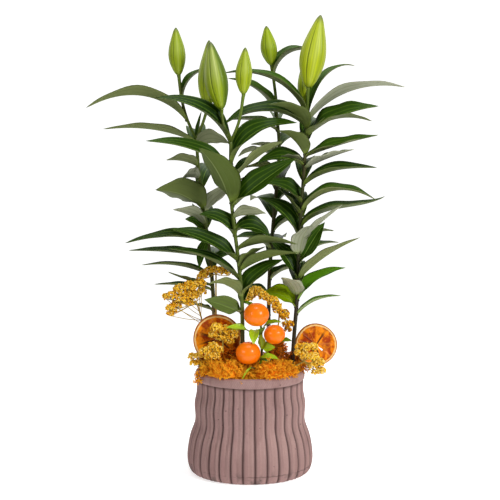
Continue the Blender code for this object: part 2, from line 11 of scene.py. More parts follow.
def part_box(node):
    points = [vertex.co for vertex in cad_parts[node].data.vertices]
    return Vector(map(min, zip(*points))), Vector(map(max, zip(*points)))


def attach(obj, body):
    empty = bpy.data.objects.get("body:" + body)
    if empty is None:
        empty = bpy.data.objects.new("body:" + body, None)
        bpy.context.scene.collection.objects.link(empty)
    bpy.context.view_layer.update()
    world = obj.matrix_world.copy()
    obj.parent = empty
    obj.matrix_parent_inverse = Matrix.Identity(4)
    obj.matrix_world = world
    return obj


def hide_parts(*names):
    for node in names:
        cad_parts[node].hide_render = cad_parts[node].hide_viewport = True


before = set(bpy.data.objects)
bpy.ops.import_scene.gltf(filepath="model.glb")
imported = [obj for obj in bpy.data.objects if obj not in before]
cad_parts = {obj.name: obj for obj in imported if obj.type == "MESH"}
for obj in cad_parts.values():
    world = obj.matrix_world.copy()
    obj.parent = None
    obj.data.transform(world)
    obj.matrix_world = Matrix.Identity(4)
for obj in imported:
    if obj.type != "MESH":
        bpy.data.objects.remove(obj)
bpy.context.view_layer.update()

bl_info = {
    "name": "Potted Lily",
    "version": (1, 0, 0),
    "blender": (4, 5, 0),
    "location": "View3D > Sidebar > Potted Lily",
    "description": "Dresses the packed frame of a potted lily with its finished pieces",
    "category": "Object",
}

MM = 0.001
BODY = "root"

# The planting, as in the frame; lengths in millimetres, -Y is the front ------------

# Pot
RIB_COUNT = 32
RIB_TOP = 107.0          # where the ribs end, under the rim band
RIB_COLUMNS = 12         # columns of points to each rib
RIB_TURN = 4.7           # degrees from the front to the nearest groove
GROOVE_DEPTH = 2.2
GROOVE_HALF_WIDTH = 0.85 # degrees
CROWN_HEIGHT = 2.2       # how far a rib's middle stands out from its sides
RIB_SETBACK = 1.5        # how far a rib's sides lie behind the pot's outline
LEAST_RIBBED_RADIUS = 59.0
FOOT_FADE = 1.5          # height over which the ribs fade in at the foot
POT_SWAY = 0.2           # how far the hand-made wall wanders in and out
# outer radius of the ribs against height, from the foot to just under the rim band
POT_RIBS = [(59.5, 0.0), (64.5, 1.6), (68.2, 6.0), (70.2, 15.0), (70.0, 27.0), (67.3, 42.5),
            (61.6, 60.0), (62.0, 79.0), (59.7, 93.0), (59.7, 105.8)]
# the smooth rim band, over the lip and down the inner wall to the floor
POT_RIM = [(60.2, 107.2), (61.2, 109.0), (61.2, 114.5), (59.6, 116.8), (56.0, 116.8), (54.4, 114.5),
           (54.0, 106.0), (56.0, 62.0), (62.0, 30.0), (60.0, 8.0)]
RIM_INNER_RADIUS = 54.0
RIM_OUTER_RADIUS = 61.5
RIM_TOP = 117.0
SOIL_TOP = 106.0
# outer radius of the soil against height, then the radii of the rings of points on its top
SOIL_WALL = [(59.4, 8.6), (61.4, 30.0), (55.5, 62.0), (53.4, 104.0)]
SOIL_RINGS = (53.0, 50.0, 46.0, 41.0, 35.0, 28.0, 20.0, 12.0, 5.0, 1.0)
SOIL_COLUMNS = 96
CRUMB_SIZES = (0.6, 2.4)

STEM_RADIUS = 2.5
STALK_RADIUS = 1.7
LEAF_FOOT = 1.3          # from the stem's axis to the foot of a leaf
LEAF_STEPS = 20
BLADE_COLUMNS = 7        # columns of quads on each side of the midrib
BLADE_THICKNESS = 0.75
MIDRIB_HEIGHT = 0.55     # below the blade; the groove above it is less deep
MIDRIB_GROOVE = 0.6
MIDRIB_WIDTH = 0.09      # as a share of the half width
EDGE_WAVE = 0.16         # how far an edge waves, as a share of the half width
EDGE_BOW = 1.35          # 1 is a flat V, more is a rounder one
ROLL_RAMP = 3.2          # how much sooner than its tip a blade has rolled all the way
DRY_STEM = "left"        # the stem with a dry tan foot
DRY_HEIGHT = 190         # where the tan ends
SCAR_COUNT = 10          # scars of shed leaves on each stem
SCAR_HEIGHTS = (112, 190)

# a leaf's foot on its stem, its blade's curve in degrees, and its tone: deep green (0) to silvery (1),
# then fresh yellow-green (2); a leaf that gives none is a plain green. The paler, silvery end is
# painted sheen and painted light over the leaf's own green
Leaf = namedtuple("Leaf", "height heading length width rise arch roll bend flick twist fold tone",
                  defaults=(0, 1.3, 0, 0, 34, None))

STEMS = {
    "left": [(-34, 16, 60), (-38, 18, 104), (-40, 18, 150), (-42, 18, 205), (-46, 18, 250),
             (-52, 18, 295), (-57, 18, 335), (-60, 17, 376)],
    "front": [(-4, -20, 60), (-6, -21, 104), (-8, -22, 150), (-9, -22, 200), (-13, -22, 245),
              (-18, -22, 285), (-21, -22, 320), (-21, -22, 376)],
    "middle": [(18, 26, 60), (20, 28, 104), (21, 30, 150), (22, 30, 215), (26, 30, 275),
               (30, 30, 320), (33, 30, 362), (30, 28, 400)],
    "right": [(40, -2, 60), (46, -2, 104), (49, -2, 150), (53, -2, 205), (54, -2, 245),
              (57, -2, 300), (60, -2, 345), (63, -2, 397)],
}
# how green each stem is at its top, and the heights between which it turns from dark to that
STEM_GREENS = {"left": (0.55, 120, 330), "front": (0.6, 145, 185), "middle": (0.4, 150, 420),
               "right": (0.3, 200, 420)}
# each bud: the route of its stalk, its tip and greatest radius; how bright it is, how frosted its upper
# half, and how much painted shade darkens its right side, each between 0 and 1
Bud = namedtuple("Bud", "stalk tip radius tone frost shade", defaults=(0.3, 0.15))
BUDS = {
    "left": {
        "bud_left": Bud([(-60, 17, 374), (-70, 16, 397), (-76, 15, 420), (-79, 15, 446)],
                        (-82, 15, 498), 9.4, 0.4, shade=0.3),
        "bud_left_twin": Bud([(-60, 17, 374), (-52, 11, 394), (-47, 6, 410)],
                             (-45, 4, 484), 10.5, 0.4, 0.9, 0.3),
    },
    "front": {
        "bud_front": Bud([(-21, -22, 374), (-29, -22, 392), (-31, -22, 410)],
                         (-43, -22, 482), 12.5, 0.35, 1.0, 0.9),
        "bud_front_small": Bud([(-21, -22, 374), (-12, -24, 396), (-7, -25, 426)],
                               (-5, -25, 476), 9.0, 0.6),
    },
    "middle": {
        "bud_middle": Bud([(30, 28, 398), (29, 26, 420), (24, 25, 457)], (18, 25, 500), 9.0,
                          0.35, frost=0.0),
    },
    "right": {
        "bud_right": Bud([(63, -2, 395), (63, -4, 412), (64, -6, 433)], (77, -8, 511), 14.0,
                         1.0),
        "bud_right_rear": Bud([(63, -2, 395), (63, 6, 402), (62, 13, 410)], (62, 22, 466),
                              8.5, 0.6),
    },
}
# how a bud swells from its stalk (0) to its tip (1)
BUD_OUTLINE = [(0.0, 0.24), (0.04, 0.42), (0.12, 0.64), (0.26, 0.90), (0.41, 1.0), (0.56, 0.92),
               (0.70, 0.73), (0.83, 0.50), (0.94, 0.28), (1.0, 0.06)]
# how far the three tepals bulge, their ribs stand out and the seams sink, as shares of the radius
BUD_LOBE, BUD_RIB, BUD_SEAM = 0.036, 0.05, 0.06

LEAVES = {
    "right": [
        Leaf(396, -5, 120, 25, 51, 63, roll=-16, bend=1.15, tone=0.9),
        Leaf(379, -20, 90, 34, 42, 36, roll=26, tone=0.35),
        Leaf(381, 20, 84, 22, 42, 60, tone=0.3),
        Leaf(357, -5, 84, 24, 22, 10, roll=20, tone=0.5),
        Leaf(344, -15, 60, 22, 28, 12, tone=0.9),
        Leaf(325, -10, 86, 27, 42, 42, roll=12, bend=2.2, tone=0.15),
        Leaf(296, -5, 92, 27, 57, 88, roll=10, tone=0.5),
        Leaf(279, 5, 102, 26, 48, 50, roll=5, bend=3, flick=34, tone=0.15),
        Leaf(263, -20, 64, 14, 44, 6, roll=-15, tone=0.95),
        Leaf(248, 310, 44, 28, 88, 90, bend=0.6, fold=12, tone=0.9),
        Leaf(236, 20, 56, 26, 62, 10, roll=40, tone=0.4),
        Leaf(258, 50, 66, 16, 32, 42),
        Leaf(242, 45, 70, 16, 34, 42),
        Leaf(220, -30, 92, 21, 46, 22, roll=-10, tone=0.45),
        Leaf(196, 10, 68, 22, 62, 54, roll=25, tone=1.35),
        Leaf(180, -5, 56, 12, 52, 52, tone=1.2),
        Leaf(202, 235, 38, 26, 66, 50, fold=12, tone=0.85),
        Leaf(266, 165, 67, 30, 72, 52, roll=-20),
        Leaf(305, 175, 52, 30, 58, 58, roll=-25, tone=0.3),
        Leaf(347, 180, 55, 26, 35, 62, roll=-30, tone=0.3),
        Leaf(293, 170, 38, 20, 60, 20, tone=0.3),
        Leaf(402, 182, 112, 23, 69, 78, roll=-10, tone=0.35),
        Leaf(387, 215, 62, 28, 62, 62, tone=0.2),
        Leaf(390, 178, 102, 30, 42, 78, roll=-20, tone=0.2),
        Leaf(359, 225, 53, 26, 60, 50, tone=0.2),
        Leaf(219, 160, 57, 28, 72, 34, roll=-25),
        Leaf(188, 163, 44, 26, 58, 72, roll=-35, tone=2),
        Leaf(398, 35, 100, 15, 84, 112, bend=0.7, tone=0.4),
        Leaf(350, 175, 28, 14, 35, 40, roll=10, tone=0.7),
        Leaf(372, 75, 84, 24, 58, 80),
        Leaf(330, 85, 88, 24, 50, 76),
        Leaf(288, 95, 86, 24, 48, 70),
        Leaf(212, 90, 70, 22, 50, 66),
    ],
    "front": [
        Leaf(373, 185, 100, 30, 66, 64, roll=-25, tone=0.1),
        Leaf(350, 0, 92, 30, 74, 78, roll=30, tone=0.25),
        Leaf(343, 190, 100, 26, 40, 38, roll=-25, tone=0.3),
        Leaf(307, 215, 76, 37, 72, 38, roll=28, bend=0.8, tone=0.08),
        Leaf(331, 10, 72, 28, 50, 24, roll=30, twist=-90, tone=0.55),
        Leaf(303, -2, 88, 32, 44, 12, roll=45, tone=0.3),
        Leaf(291, 335, 40, 20, 24, 28, roll=-45, tone=0.75),
        Leaf(271, 190, 48, 30, 62, 56, roll=-35, tone=0.2),
        Leaf(276, 5, 42, 28, 28, 72, roll=35, tone=0.2),
        Leaf(243, 190, 84, 28, 40, 25, roll=-30, tone=0.2),
        Leaf(256, -10, 68, 24, 24, 34, roll=-20, tone=0.25),
        Leaf(222, 190, 90, 22, 46, 40, roll=-14, tone=0.15),
        Leaf(235, -10, 38, 24, 60, 35, tone=0.2),
        Leaf(232, -15, 70, 24, 36, 32, roll=-20),
        Leaf(205, 5, 61, 30, 58, 32, roll=25, tone=0.3),
        Leaf(202, 205, 46, 20, 64, 72, roll=24, tone=0.5),
        Leaf(195, 55, 34, 14, 74, 20),
        Leaf(185, 186, 44, 22, 26, 10, roll=-60, tone=0.9),
    ],
    "left": [
        Leaf(420, 25, 64, 15, 88, 96, tone=0.4),
        Leaf(396, 180, 124, 27, 50, 80, roll=20, tone=0.35),
        Leaf(372, 182, 106, 22, 25, 32, roll=10, tone=0.3),
        Leaf(372, 20, 34, 9, 88, 10, tone=0.3),
        Leaf(367, -15, 38, 30, 30, 45, roll=-35, tone=0.7),
        Leaf(345, 195, 37, 24, 30, 35, roll=15, tone=0.6),
        Leaf(331, 205, 20, 24, 25, 40, roll=35, tone=0.9),
        Leaf(296, 200, 62, 40, 50, 50, roll=45, tone=0.2),
        Leaf(279, 186, 40, 28, 42, 30, roll=30, tone=0.8),
        Leaf(293, 10, 44, 26, 48, 10, roll=-45, tone=0.8),
        Leaf(268, 203, 32, 24, 60, 45, roll=-40, tone=0.3),
        Leaf(260, 182, 94, 20, 16, 32, roll=-15, tone=0.15),
        Leaf(242, 178, 92, 18, 11, 12, roll=-15, tone=0.15),
        Leaf(221, 180, 81, 16, 27, 34, tone=0.15),
        Leaf(210, 185, 52, 13, 10, -15),
        Leaf(205, 180, 66, 13, 14, 16),
        Leaf(262, 240, 36, 14, -50, 20),
        Leaf(236, 10, 30, 16, 35, 25, roll=25),
        Leaf(182, 185, 26, 12, 20, 5),
        Leaf(362, 95, 86, 24, 52, 76),
        Leaf(318, 80, 90, 24, 50, 74),
        Leaf(274, 100, 84, 24, 46, 70),
        Leaf(226, 85, 72, 22, 48, 62),
    ],
    "middle": [
        Leaf(446, 12, 64, 25, 80, 106, roll=5, bend=1.1, tone=0.4),
        Leaf(401, 178, 72, 22, 72, 64, roll=-10, tone=0.6),
        Leaf(384, 182, 54, 20, 36, 42, roll=-10, tone=0.7),
        Leaf(358, 200, 36, 20, 40, 40, tone=0.7),
        Leaf(334, 190, 40, 22, 45, 60, roll=10, tone=0.5),
        Leaf(322, 185, 44, 18, 20, 20, roll=40),
        Leaf(300, 30, 40, 22, 60, 60),
        Leaf(270, 20, 50, 24, 50, 60),
        Leaf(250, 180, 45, 24, 50, 60, roll=-10),
        Leaf(215, 10, 35, 22, 50, 50),
        Leaf(195, 180, 35, 22, 50, 60),
        Leaf(392, 90, 90, 18, 25, 50, tone=0.6),
        Leaf(366, 65, 84, 20, 28, 52, tone=0.6),
        Leaf(350, 125, 84, 20, 28, 52, tone=0.5),
        Leaf(316, 80, 88, 24, 50, 72),
        Leaf(284, 110, 84, 24, 48, 70),
        Leaf(240, 75, 76, 22, 48, 66),
    ],
}

# Calamondin sprig
TWIG_RADIUS = 1.3
TWIG_ROUTES = [
    [(12, -30, 85), (13, -23, 118), (13, -17, 150), (12, -16.5, 170), (9.6, -18.9, 178.9),
     (9.1, -21.7, 180.0)],
    [(13, -18, 142), (16.5, -18.5, 149), (20.4, -22.2, 154.0)],
    [(13, -22, 122), (10, -27, 130), (5.6, -32.5, 134.7)],
    [(13, -17, 158), (4, -24, 164), (0, -30, 165)],
]
# leaves of the sprig: where each joins the twig, where its blade starts, and its blade
SprigLeaf = namedtuple("SprigLeaf", "joint foot blade")
SPRIG_LEAVES = [
    SprigLeaf((0, -30, 165), (-4, -33, 168), Leaf(0, 193, 23, 10, 15, 12, roll=60, tone=0.8)),
    SprigLeaf((0, -30, 165), (5, -33, 167), Leaf(0, 266, 21, 12, -10, 55, tone=0.9)),
    SprigLeaf((13, -18, 156), (7, -27, 159), Leaf(0, 350, 15, 8, 50, 5, roll=60, tone=0.1)),
    SprigLeaf((13, -17, 160), (16, -18, 170), Leaf(0, 350, 20, 8, 30, 30, roll=20, tone=0.7)),
    SprigLeaf((20, -21.5, 153), (34, -21, 152), Leaf(0, 345, 13, 7, 25, 30, roll=20, tone=0.2)),
    SprigLeaf((13, -19, 140), (12.5, -27, 145), Leaf(0, 240, 18, 10, 80, -8, tone=1)),
    SprigLeaf((13, -20, 136), (14, -30, 146), Leaf(0, 340, 15, 11, 15, 10, roll=65, tone=0.8)),
    SprigLeaf((13, -21.5, 127), (11, -35, 136), Leaf(0, 345, 22, 9, 25, 45, roll=35, tone=0.95)),
    SprigLeaf((13, -22, 121), (8, -38, 129), Leaf(0, 352, 18, 7, 28, 8, roll=35, tone=0.1)),
    SprigLeaf((11.5, -16.8, 173), (3, -18, 190), Leaf(0, 180, 14, 11, 50, 40, tone=0.15)),
    SprigLeaf((13, -22.5, 119), (1, -49, 129), Leaf(0, 229, 18, 4, -28, 15, tone=1)),
]

# Dried orange slices; degrees of turn and lean
Slice = namedtuple("Slice", "centre radius turn lean torn")
SLICES = {
    "orange_slice_left": Slice((-36, -12, 154), 27.5, 0, -4, False),
    "orange_slice_right": Slice((74, 5, 144), 24.0, 8, 3, True),
}
SLICE_THICKNESS = 4.0
SEGMENTS = 10
# as shares of a slice's radius: where the flesh starts and ends, where the rind's rounded edge starts,
# and the open part of a torn segment
FLESH_REACH = (0.14, 0.86)
EDGE_REACH = 0.985
TORN_REACH = (0.12, 0.42)
MEMBRANE_WIDTH = 0.09
FLESH_SINK = 0.55        # how far the flesh shrinks, as a share of half the thickness

# Dried yarrow: each head's centre and half its depth, its stalk down into the soil, how bright it is,
# and its tufts: their places to the right of and above its centre, and their radii
Yarrow = namedtuple("Yarrow", "centre half_depth stalk warmth tufts")
YARROW = {
    "yarrow_left": Yarrow(
        (-72, -4, 202), 11,
        [(-60, -1, 194), (-54, 4, 172), (-50, 7, 145), (-46, 8, 108), (-46, 8, 85)], 0.4,
        [(16, 13, 7), (5, 10, 8), (-6, 6, 8), (-15, -1, 7), (-3, -4, 8), (7, 0, 8), (18, 4, 5),
         (-17, -14, 5), (-10, -11, 6), (4, -9, 5), (-17, -21, 4), (-14, -18, 4), (-22, -2, 4)]),
    "yarrow_upper": Yarrow(
        (-38, 2, 226), 8,
        [(-38, 2, 225), (-38, 1, 200), (-37, 0, 160), (-30, -1, 108), (-29, -1, 85)], 0.35,
        [(-14, -1, 5), (-8, 3, 5), (-1, 3, 6), (7, 3, 6), (15, 1, 5), (-17, -4, 4)]),
    "yarrow_slice": Yarrow(
        (-29, -26, 163), 8, [(-30, -26, 158), (-30, -26, 130), (-29, -25, 85)], 0.42,
        [(-8, 6, 7), (1, 3, 7), (9, -3, 7), (-12, -2, 5), (-3, -5, 6), (6, -9, 5), (12, 2, 4)]),
    "yarrow_front": Yarrow(
        (-43, -37, 145), 8, [(-43, -36, 142), (-40, -31, 118), (-38, -29, 85)], 0.45,
        [(-6, 0, 6), (2, 5, 6), (8, 1, 5), (-2, -6, 5), (5, -6, 5)]),
    "yarrow_side": Yarrow(
        (-60, -25, 133), 7, [(-59, -24, 131), (-49, -18, 118), (-46, -16, 85)], 0.5,
        [(-4, 3, 4.5), (3, 4, 4.5), (-2, -4, 4.5), (4, -4, 4.5)]),
    "yarrow_right": Yarrow(
        (66, -23, 134), 9, [(60, -21, 130), (47, -17, 119), (43, -15, 85)], 0.6,
        [(-11, 6, 6), (-5, 13, 6), (4, 12, 6), (-5, 3, 6), (4, 2, 7), (11, -5, 6), (4, -9, 5),
         (13, -14, 5), (7, -16, 4), (-12, 13, 4)]),
}
LOOSE_YARROW = "yarrow_left"    # the open head, whose fine stalks show
YARROW_STALK_RADIUS = 0.9
FINE_STALK_RADIUS = 0.4
STALK_TONE = -1.0        # the tone that a floret never has
CLUSTER_REACH = 1.9      # from the middle of a cluster to its florets
FLORET_SIZES = (0.6, 1.15)
# the long head that bows over behind the fruits
BOW_ROUTE = [(-3, -9, 203), (8, -10, 207), (21, -14, 200), (33, -16, 187), (41, -15, 173),
             (44, -14, 162)]
BOW_RADIUS = 7.0
BOW_STALK = [(33, -16, 187), (30, -12, 150), (27, -8, 108), (27, -8, 85)]

# Reindeer moss: each clump's centre on the soil or rim and its half sizes, how bright it is from
# brown (-1) to orange (1), and smaller tufts beside it: place, reach and brightness
Moss = namedtuple("Moss", "centre half_size warmth tufts", defaults=((),))
MOSS = {
    "moss_front_left": Moss((-31, -42, 114), (27, 18, 20), 0.65, (
        (-26, -25, 136, 7, -0.2), (-19, -27, 139, 6, -0.3), (-32, -26, 134, 6, 0.0),
        (-55, -33, 117, 4, 0.4), (-58, -34, 110, 3, 0.6), (-3, -50, 117, 6, 0.5))),
    "moss_front_right": Moss((28, -41, 114), (25, 18, 19), 0.45),
    "moss_middle": Moss((28, -9, 112), (12, 10, 34), -0.35, (
        (34, -9, 143, 6, -0.1), (24, -9, 141, 5, -0.3))),
    "moss_right": Moss((50, 16, 112), (13, 19, 18), 0.1, (
        (54, -14, 121, 6, 0.2), (60, -10, 120, 5, 0.3))),
    "moss_left": Moss((-38, -4, 112), (17, 16, 32), -0.4),
    "moss_back": Moss((-2, 38, 111), (34, 17, 14), 0.3),
}
SPROUT_RADIUS = 0.55
SPROUT_FORKS = 2         # how often a sprout forks
SPROUT_SHARES = (0.6, 0.85)    # length of a branch, as shares of the one below it
STRAY_CHANCE, STRAY_LENGTH = 0.06, 1.9
TUFT_SPROUT_LENGTH = 2.2
MOSS_SETBACK = 20        # sprouts farther forward than this start no lower than just below the rim


# Geometry helpers ------------

def smooth_route(points, steps):
    """A Catmull-Rom curve through the points, with steps to each stretch."""
    points = [Vector(p) for p in points]
    ends = [points[0]] + points + [points[-1]]
    route = []
    for before, start, end, after in zip(ends, ends[1:], ends[2:], ends[3:]):
        for k in range(steps):
            t = k / steps
            route.append(0.5 * (2 * start + (end - before) * t
                                + (2 * before - 5 * start + 4 * end - after) * t * t
                                + (3 * start - before - 3 * end + after) * t ** 3))
    route.append(points[-1])
    return route


def smooth_profile(points, steps):
    """The same curve through points that have two coordinates."""
    return [(p.x, p.y) for p in smooth_route([(a, b, 0) for a, b in points], steps)]


def circle(columns):
    """Angles once round, in radians."""
    return 2 * math.pi * np.arange(columns) / columns


def ring_directions(columns, flat, level):
    """A ring of directions: flat is how far each reaches outwards, and level how far upwards."""
    turns = circle(columns)
    return np.stack([np.cos(turns) * flat, np.sin(turns) * flat, np.full(columns, level)], axis=-1)


def heading(degrees):
    """The level direction at so many degrees from +X."""
    turn = math.radians(degrees)
    return Vector((math.cos(turn), math.sin(turn), 0))


def bell(off, width):
    """1 where off is 0, and next to nothing beyond two widths."""
    return np.exp(-(off / width) ** 2)


def lumps(points, scale, shift=(0, 0, 0)):
    """Soft noise between -1 and 1 at each point."""
    return np.array([noise.noise(Vector(p) * scale + Vector(shift)) for p in points])


def unit(direction):
    """The same direction with a length of 1."""
    return direction / np.linalg.norm(direction)


def ring_faces(columns, rings):
    """Quads between rings of points."""
    ring, k = np.meshgrid(np.arange(rings - 1), np.arange(columns), indexing="ij")
    a = ring * columns + k
    b = ring * columns + (k + 1) % columns
    return np.stack([a, b, b + columns, a + columns], axis=-1).reshape(-1, 4)


def closed_faces(columns, rings):
    """Those quads, with a flat face at either end."""
    first = np.arange(columns)
    return [ring_faces(columns, rings), np.stack([first[::-1], first + (rings - 1) * columns])]


class Shape:
    """Points, faces and named values of one piece, added part by part."""

    def __init__(self):
        self.points, self.faces, self.slots = [], [], []
        self.values = {}
        self.count = 0

    def add(self, points, faces, values=None, slots=None):
        """Add points, groups of faces of one size, values for each point and slots for each face."""
        points = np.asarray(points, float).reshape(-1, 3)
        values = values or {}
        self.faces += [np.asarray(group, int) + self.count for group in faces]
        total = sum(len(group) for group in faces)
        self.slots.append(np.zeros(total, int) if slots is None else slots)
        for name in set(self.values) | set(values):
            column = self.values.setdefault(name, [np.zeros(self.count)])
            column.append(np.broadcast_to(values.get(name, 0.0), (len(points),)))
        self.points.append(points)
        self.count += len(points)

    def skin(self, rings, values=None):
        """A closed skin over rings of points, with a flat face at either end."""
        self.add(np.concatenate(rings), closed_faces(len(rings[0]), len(rings)), values)

    def tube(self, route, radius, sides, **values):
        """A closed tube with flat ends; radius and values are one number or one for each point."""
        route = [Vector(p) for p in route]
        radii = np.broadcast_to(radius, (len(route),))
        points = []
        side = Vector((1, 0.1, 0)).normalized()
        for k, centre in enumerate(route):
            along = (route[min(k + 1, len(route) - 1)] - route[max(k - 1, 0)]).normalized()
            side = (side - along * side.dot(along)).normalized()
            across = along.cross(side)
            for j in range(sides):
                turn = 2 * math.pi * j / sides
                points.append(centre + (side * math.cos(turn) + across * math.sin(turn)) * radii[k])
        values = {name: np.repeat(v, sides) if np.ndim(v) else v for name, v in values.items()}
        self.add(points, closed_faces(sides, len(route)), values)

    def object(self, name, *materials):
        """A smooth mesh object of all that was added."""
        mesh = bpy.data.meshes.new(name)
        points = np.concatenate(self.points) * MM
        mesh.vertices.add(len(points))
        mesh.vertices.foreach_set("co", points.ravel())
        corners = np.concatenate([group.ravel() for group in self.faces])
        sizes = np.concatenate([np.full(len(group), group.shape[1]) for group in self.faces])
        mesh.loops.add(len(corners))
        mesh.loops.foreach_set("vertex_index", corners)
        mesh.polygons.add(len(sizes))
        mesh.polygons.foreach_set("loop_start", np.concatenate([[0], np.cumsum(sizes)[:-1]]))
        mesh.polygons.foreach_set("material_index", np.concatenate(self.slots))
        mesh.update(calc_edges=True)
        mesh.validate()
        for label, column in self.values.items():
            layer = mesh.attributes.new(label, "FLOAT", "POINT")
            layer.data.foreach_set("value", np.concatenate(column).astype(np.float32))
        mesh.shade_smooth()
        for material in materials:
            mesh.materials.append(material)
        piece = bpy.data.objects.new(name, mesh)
        bpy.context.scene.collection.objects.link(piece)
        return piece


def place(piece, node):
    """Ride the frame's only body and stand for the node given, whose part is hidden."""
    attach(piece, BODY)
    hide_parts(node)


def place_finish(shape, node, material):
    """The one piece that stands for a whole node."""
    place(shape.object(node + "_finish", material), node)


# Material helpers ------------

def screen(*shade):
    """A colour between 0 and 1 from screen values between 0 and 255."""
    return tuple(c / 255 for c in shade)


def linear(colour):
    """Linear colour from screen values between 0 and 255."""
    return tuple(c / 12.92 if c <= 0.04045 else ((c + 0.055) / 1.055) ** 2.4 for c in screen(*colour))


def chosen(name):
    """Screen values of a colour that the user can change."""
    return tuple(255 * c for c in getattr(bpy.context.scene.lily_colours, name))


class Finish:
    """A node material built step by step around one Principled shader. Colours are screen values
    between 0 and 255, and body is the colour as it stands so far."""

    def __init__(self, name, roughness, **sockets):
        self.material = bpy.data.materials.new(name)
        self.material.use_nodes = True
        self.nodes = self.material.node_tree.nodes
        self.links = self.material.node_tree.links
        self.shader = self.nodes["Principled BSDF"]
        self.body = None
        self.feed(self.shader.inputs["Roughness"], roughness)
        for socket, value in sockets.items():
            self.feed(self.shader.inputs[socket.replace("_", " ")], value)

    def feed(self, socket, value):
        """Give a socket a link or a plain value."""
        if isinstance(value, bpy.types.NodeSocket):
            self.links.new(value, socket)
        else:
            socket.default_value = value

    def node(self, kind, inputs=None, **settings):
        """A new node with values or links for its inputs."""
        item = self.nodes.new(kind)
        for key, value in settings.items():
            setattr(item, key, value)
        for key, value in (inputs or {}).items():
            self.feed(item.inputs[key], value)
        return item

    def texture_place(self):
        return self.node("ShaderNodeTexCoord").outputs["Object"]

    def value(self, name):
        """One of the shape's named values."""
        return self.node("ShaderNodeAttribute", attribute_name=name).outputs["Fac"]

    def noise(self, scale, detail=4.0, stretch=None):
        """Cloudy noise between 0 and 1."""
        where = self.texture_place()
        if stretch:
            where = self.node("ShaderNodeMapping", {"Vector": where, "Scale": stretch}).outputs["Vector"]
        return self.node("ShaderNodeTexNoise", {"Vector": where, "Scale": scale, "Detail": detail,
                                                "Roughness": 0.55}).outputs["Fac"]

    def streaks(self, scale, detail, squeeze):
        """Noise drawn out along the height."""
        return self.noise(scale, detail, (1.0, 1.0, squeeze))

    def cells(self, scale):
        """The distance to the nearest of many scattered spots."""
        return self.node("ShaderNodeTexVoronoi",
                         {"Vector": self.texture_place(), "Scale": scale}).outputs["Distance"]

    def math(self, operation, first, second=0.0):
        return self.node("ShaderNodeMath", {0: first, 1: second}, operation=operation).outputs[0]

    def times(self, first, second):
        return self.math("MULTIPLY", first, second)

    def span(self, value, low, high, new_low=0.0, new_high=1.0):
        """Carry the range from low to high smoothly over to the new one."""
        return self.node("ShaderNodeMapRange", {"Value": value, "From Min": low, "From Max": high,
                                                "To Min": new_low, "To Max": new_high},
                         interpolation_type="SMOOTHSTEP").outputs["Result"]

    def near(self, value, level, inner, outer, most=1.0):
        """The most within inner of a level, and nothing beyond outer."""
        away = self.math("ABSOLUTE", self.math("SUBTRACT", value, level))
        return self.span(away, inner, outer, most, 0.0)

    def waves(self, turns):
        """Fine lines between 0 and 1 from an angle in radians."""
        return self.span(self.math("SINE", turns), -1.0, 1.0)

    def mix(self, amount, first, second):
        """From the first colour to the second, by an amount between 0 and 1."""
        item = self.node("ShaderNodeMix", data_type="RGBA")
        for socket, colour in ((item.inputs[6], first), (item.inputs[7], second)):
            self.feed(socket, colour if isinstance(colour, bpy.types.NodeSocket)
                      else (*linear(colour), 1.0))
        self.feed(item.inputs[0], amount)
        return item.outputs[2]

    def coat(self, amount, colour, strength=1.0):
        """Lay a colour over the body, by an amount between 0 and 1."""
        if strength != 1.0:
            amount = self.times(amount, strength)
        self.body = self.mix(amount, self.body, colour)

    def done(self, *bumps):
        """The material with its body and bumps: a height, its strength and its distance in mm each."""
        self.feed(self.shader.inputs["Base Color"], self.body)
        normal = None
        for height, strength, distance in bumps:
            item = self.node("ShaderNodeBump", {"Height": height, "Strength": strength,
                                                "Distance": distance * MM})
            if normal:
                self.links.new(normal, item.inputs["Normal"])
            normal = item.outputs["Normal"]
        self.links.new(normal, self.shader.inputs["Normal"])
        return self.material


# Pot and soil ------------

def turned(profile, columns, radii_at):
    """Points and faces of a closed solid of revolution; radii_at gives the radii of each row."""
    rows = [ring_directions(columns, radii_at(radius, height), height)
            for radius, height in profile]
    return np.concatenate(rows), closed_faces(columns, len(profile))


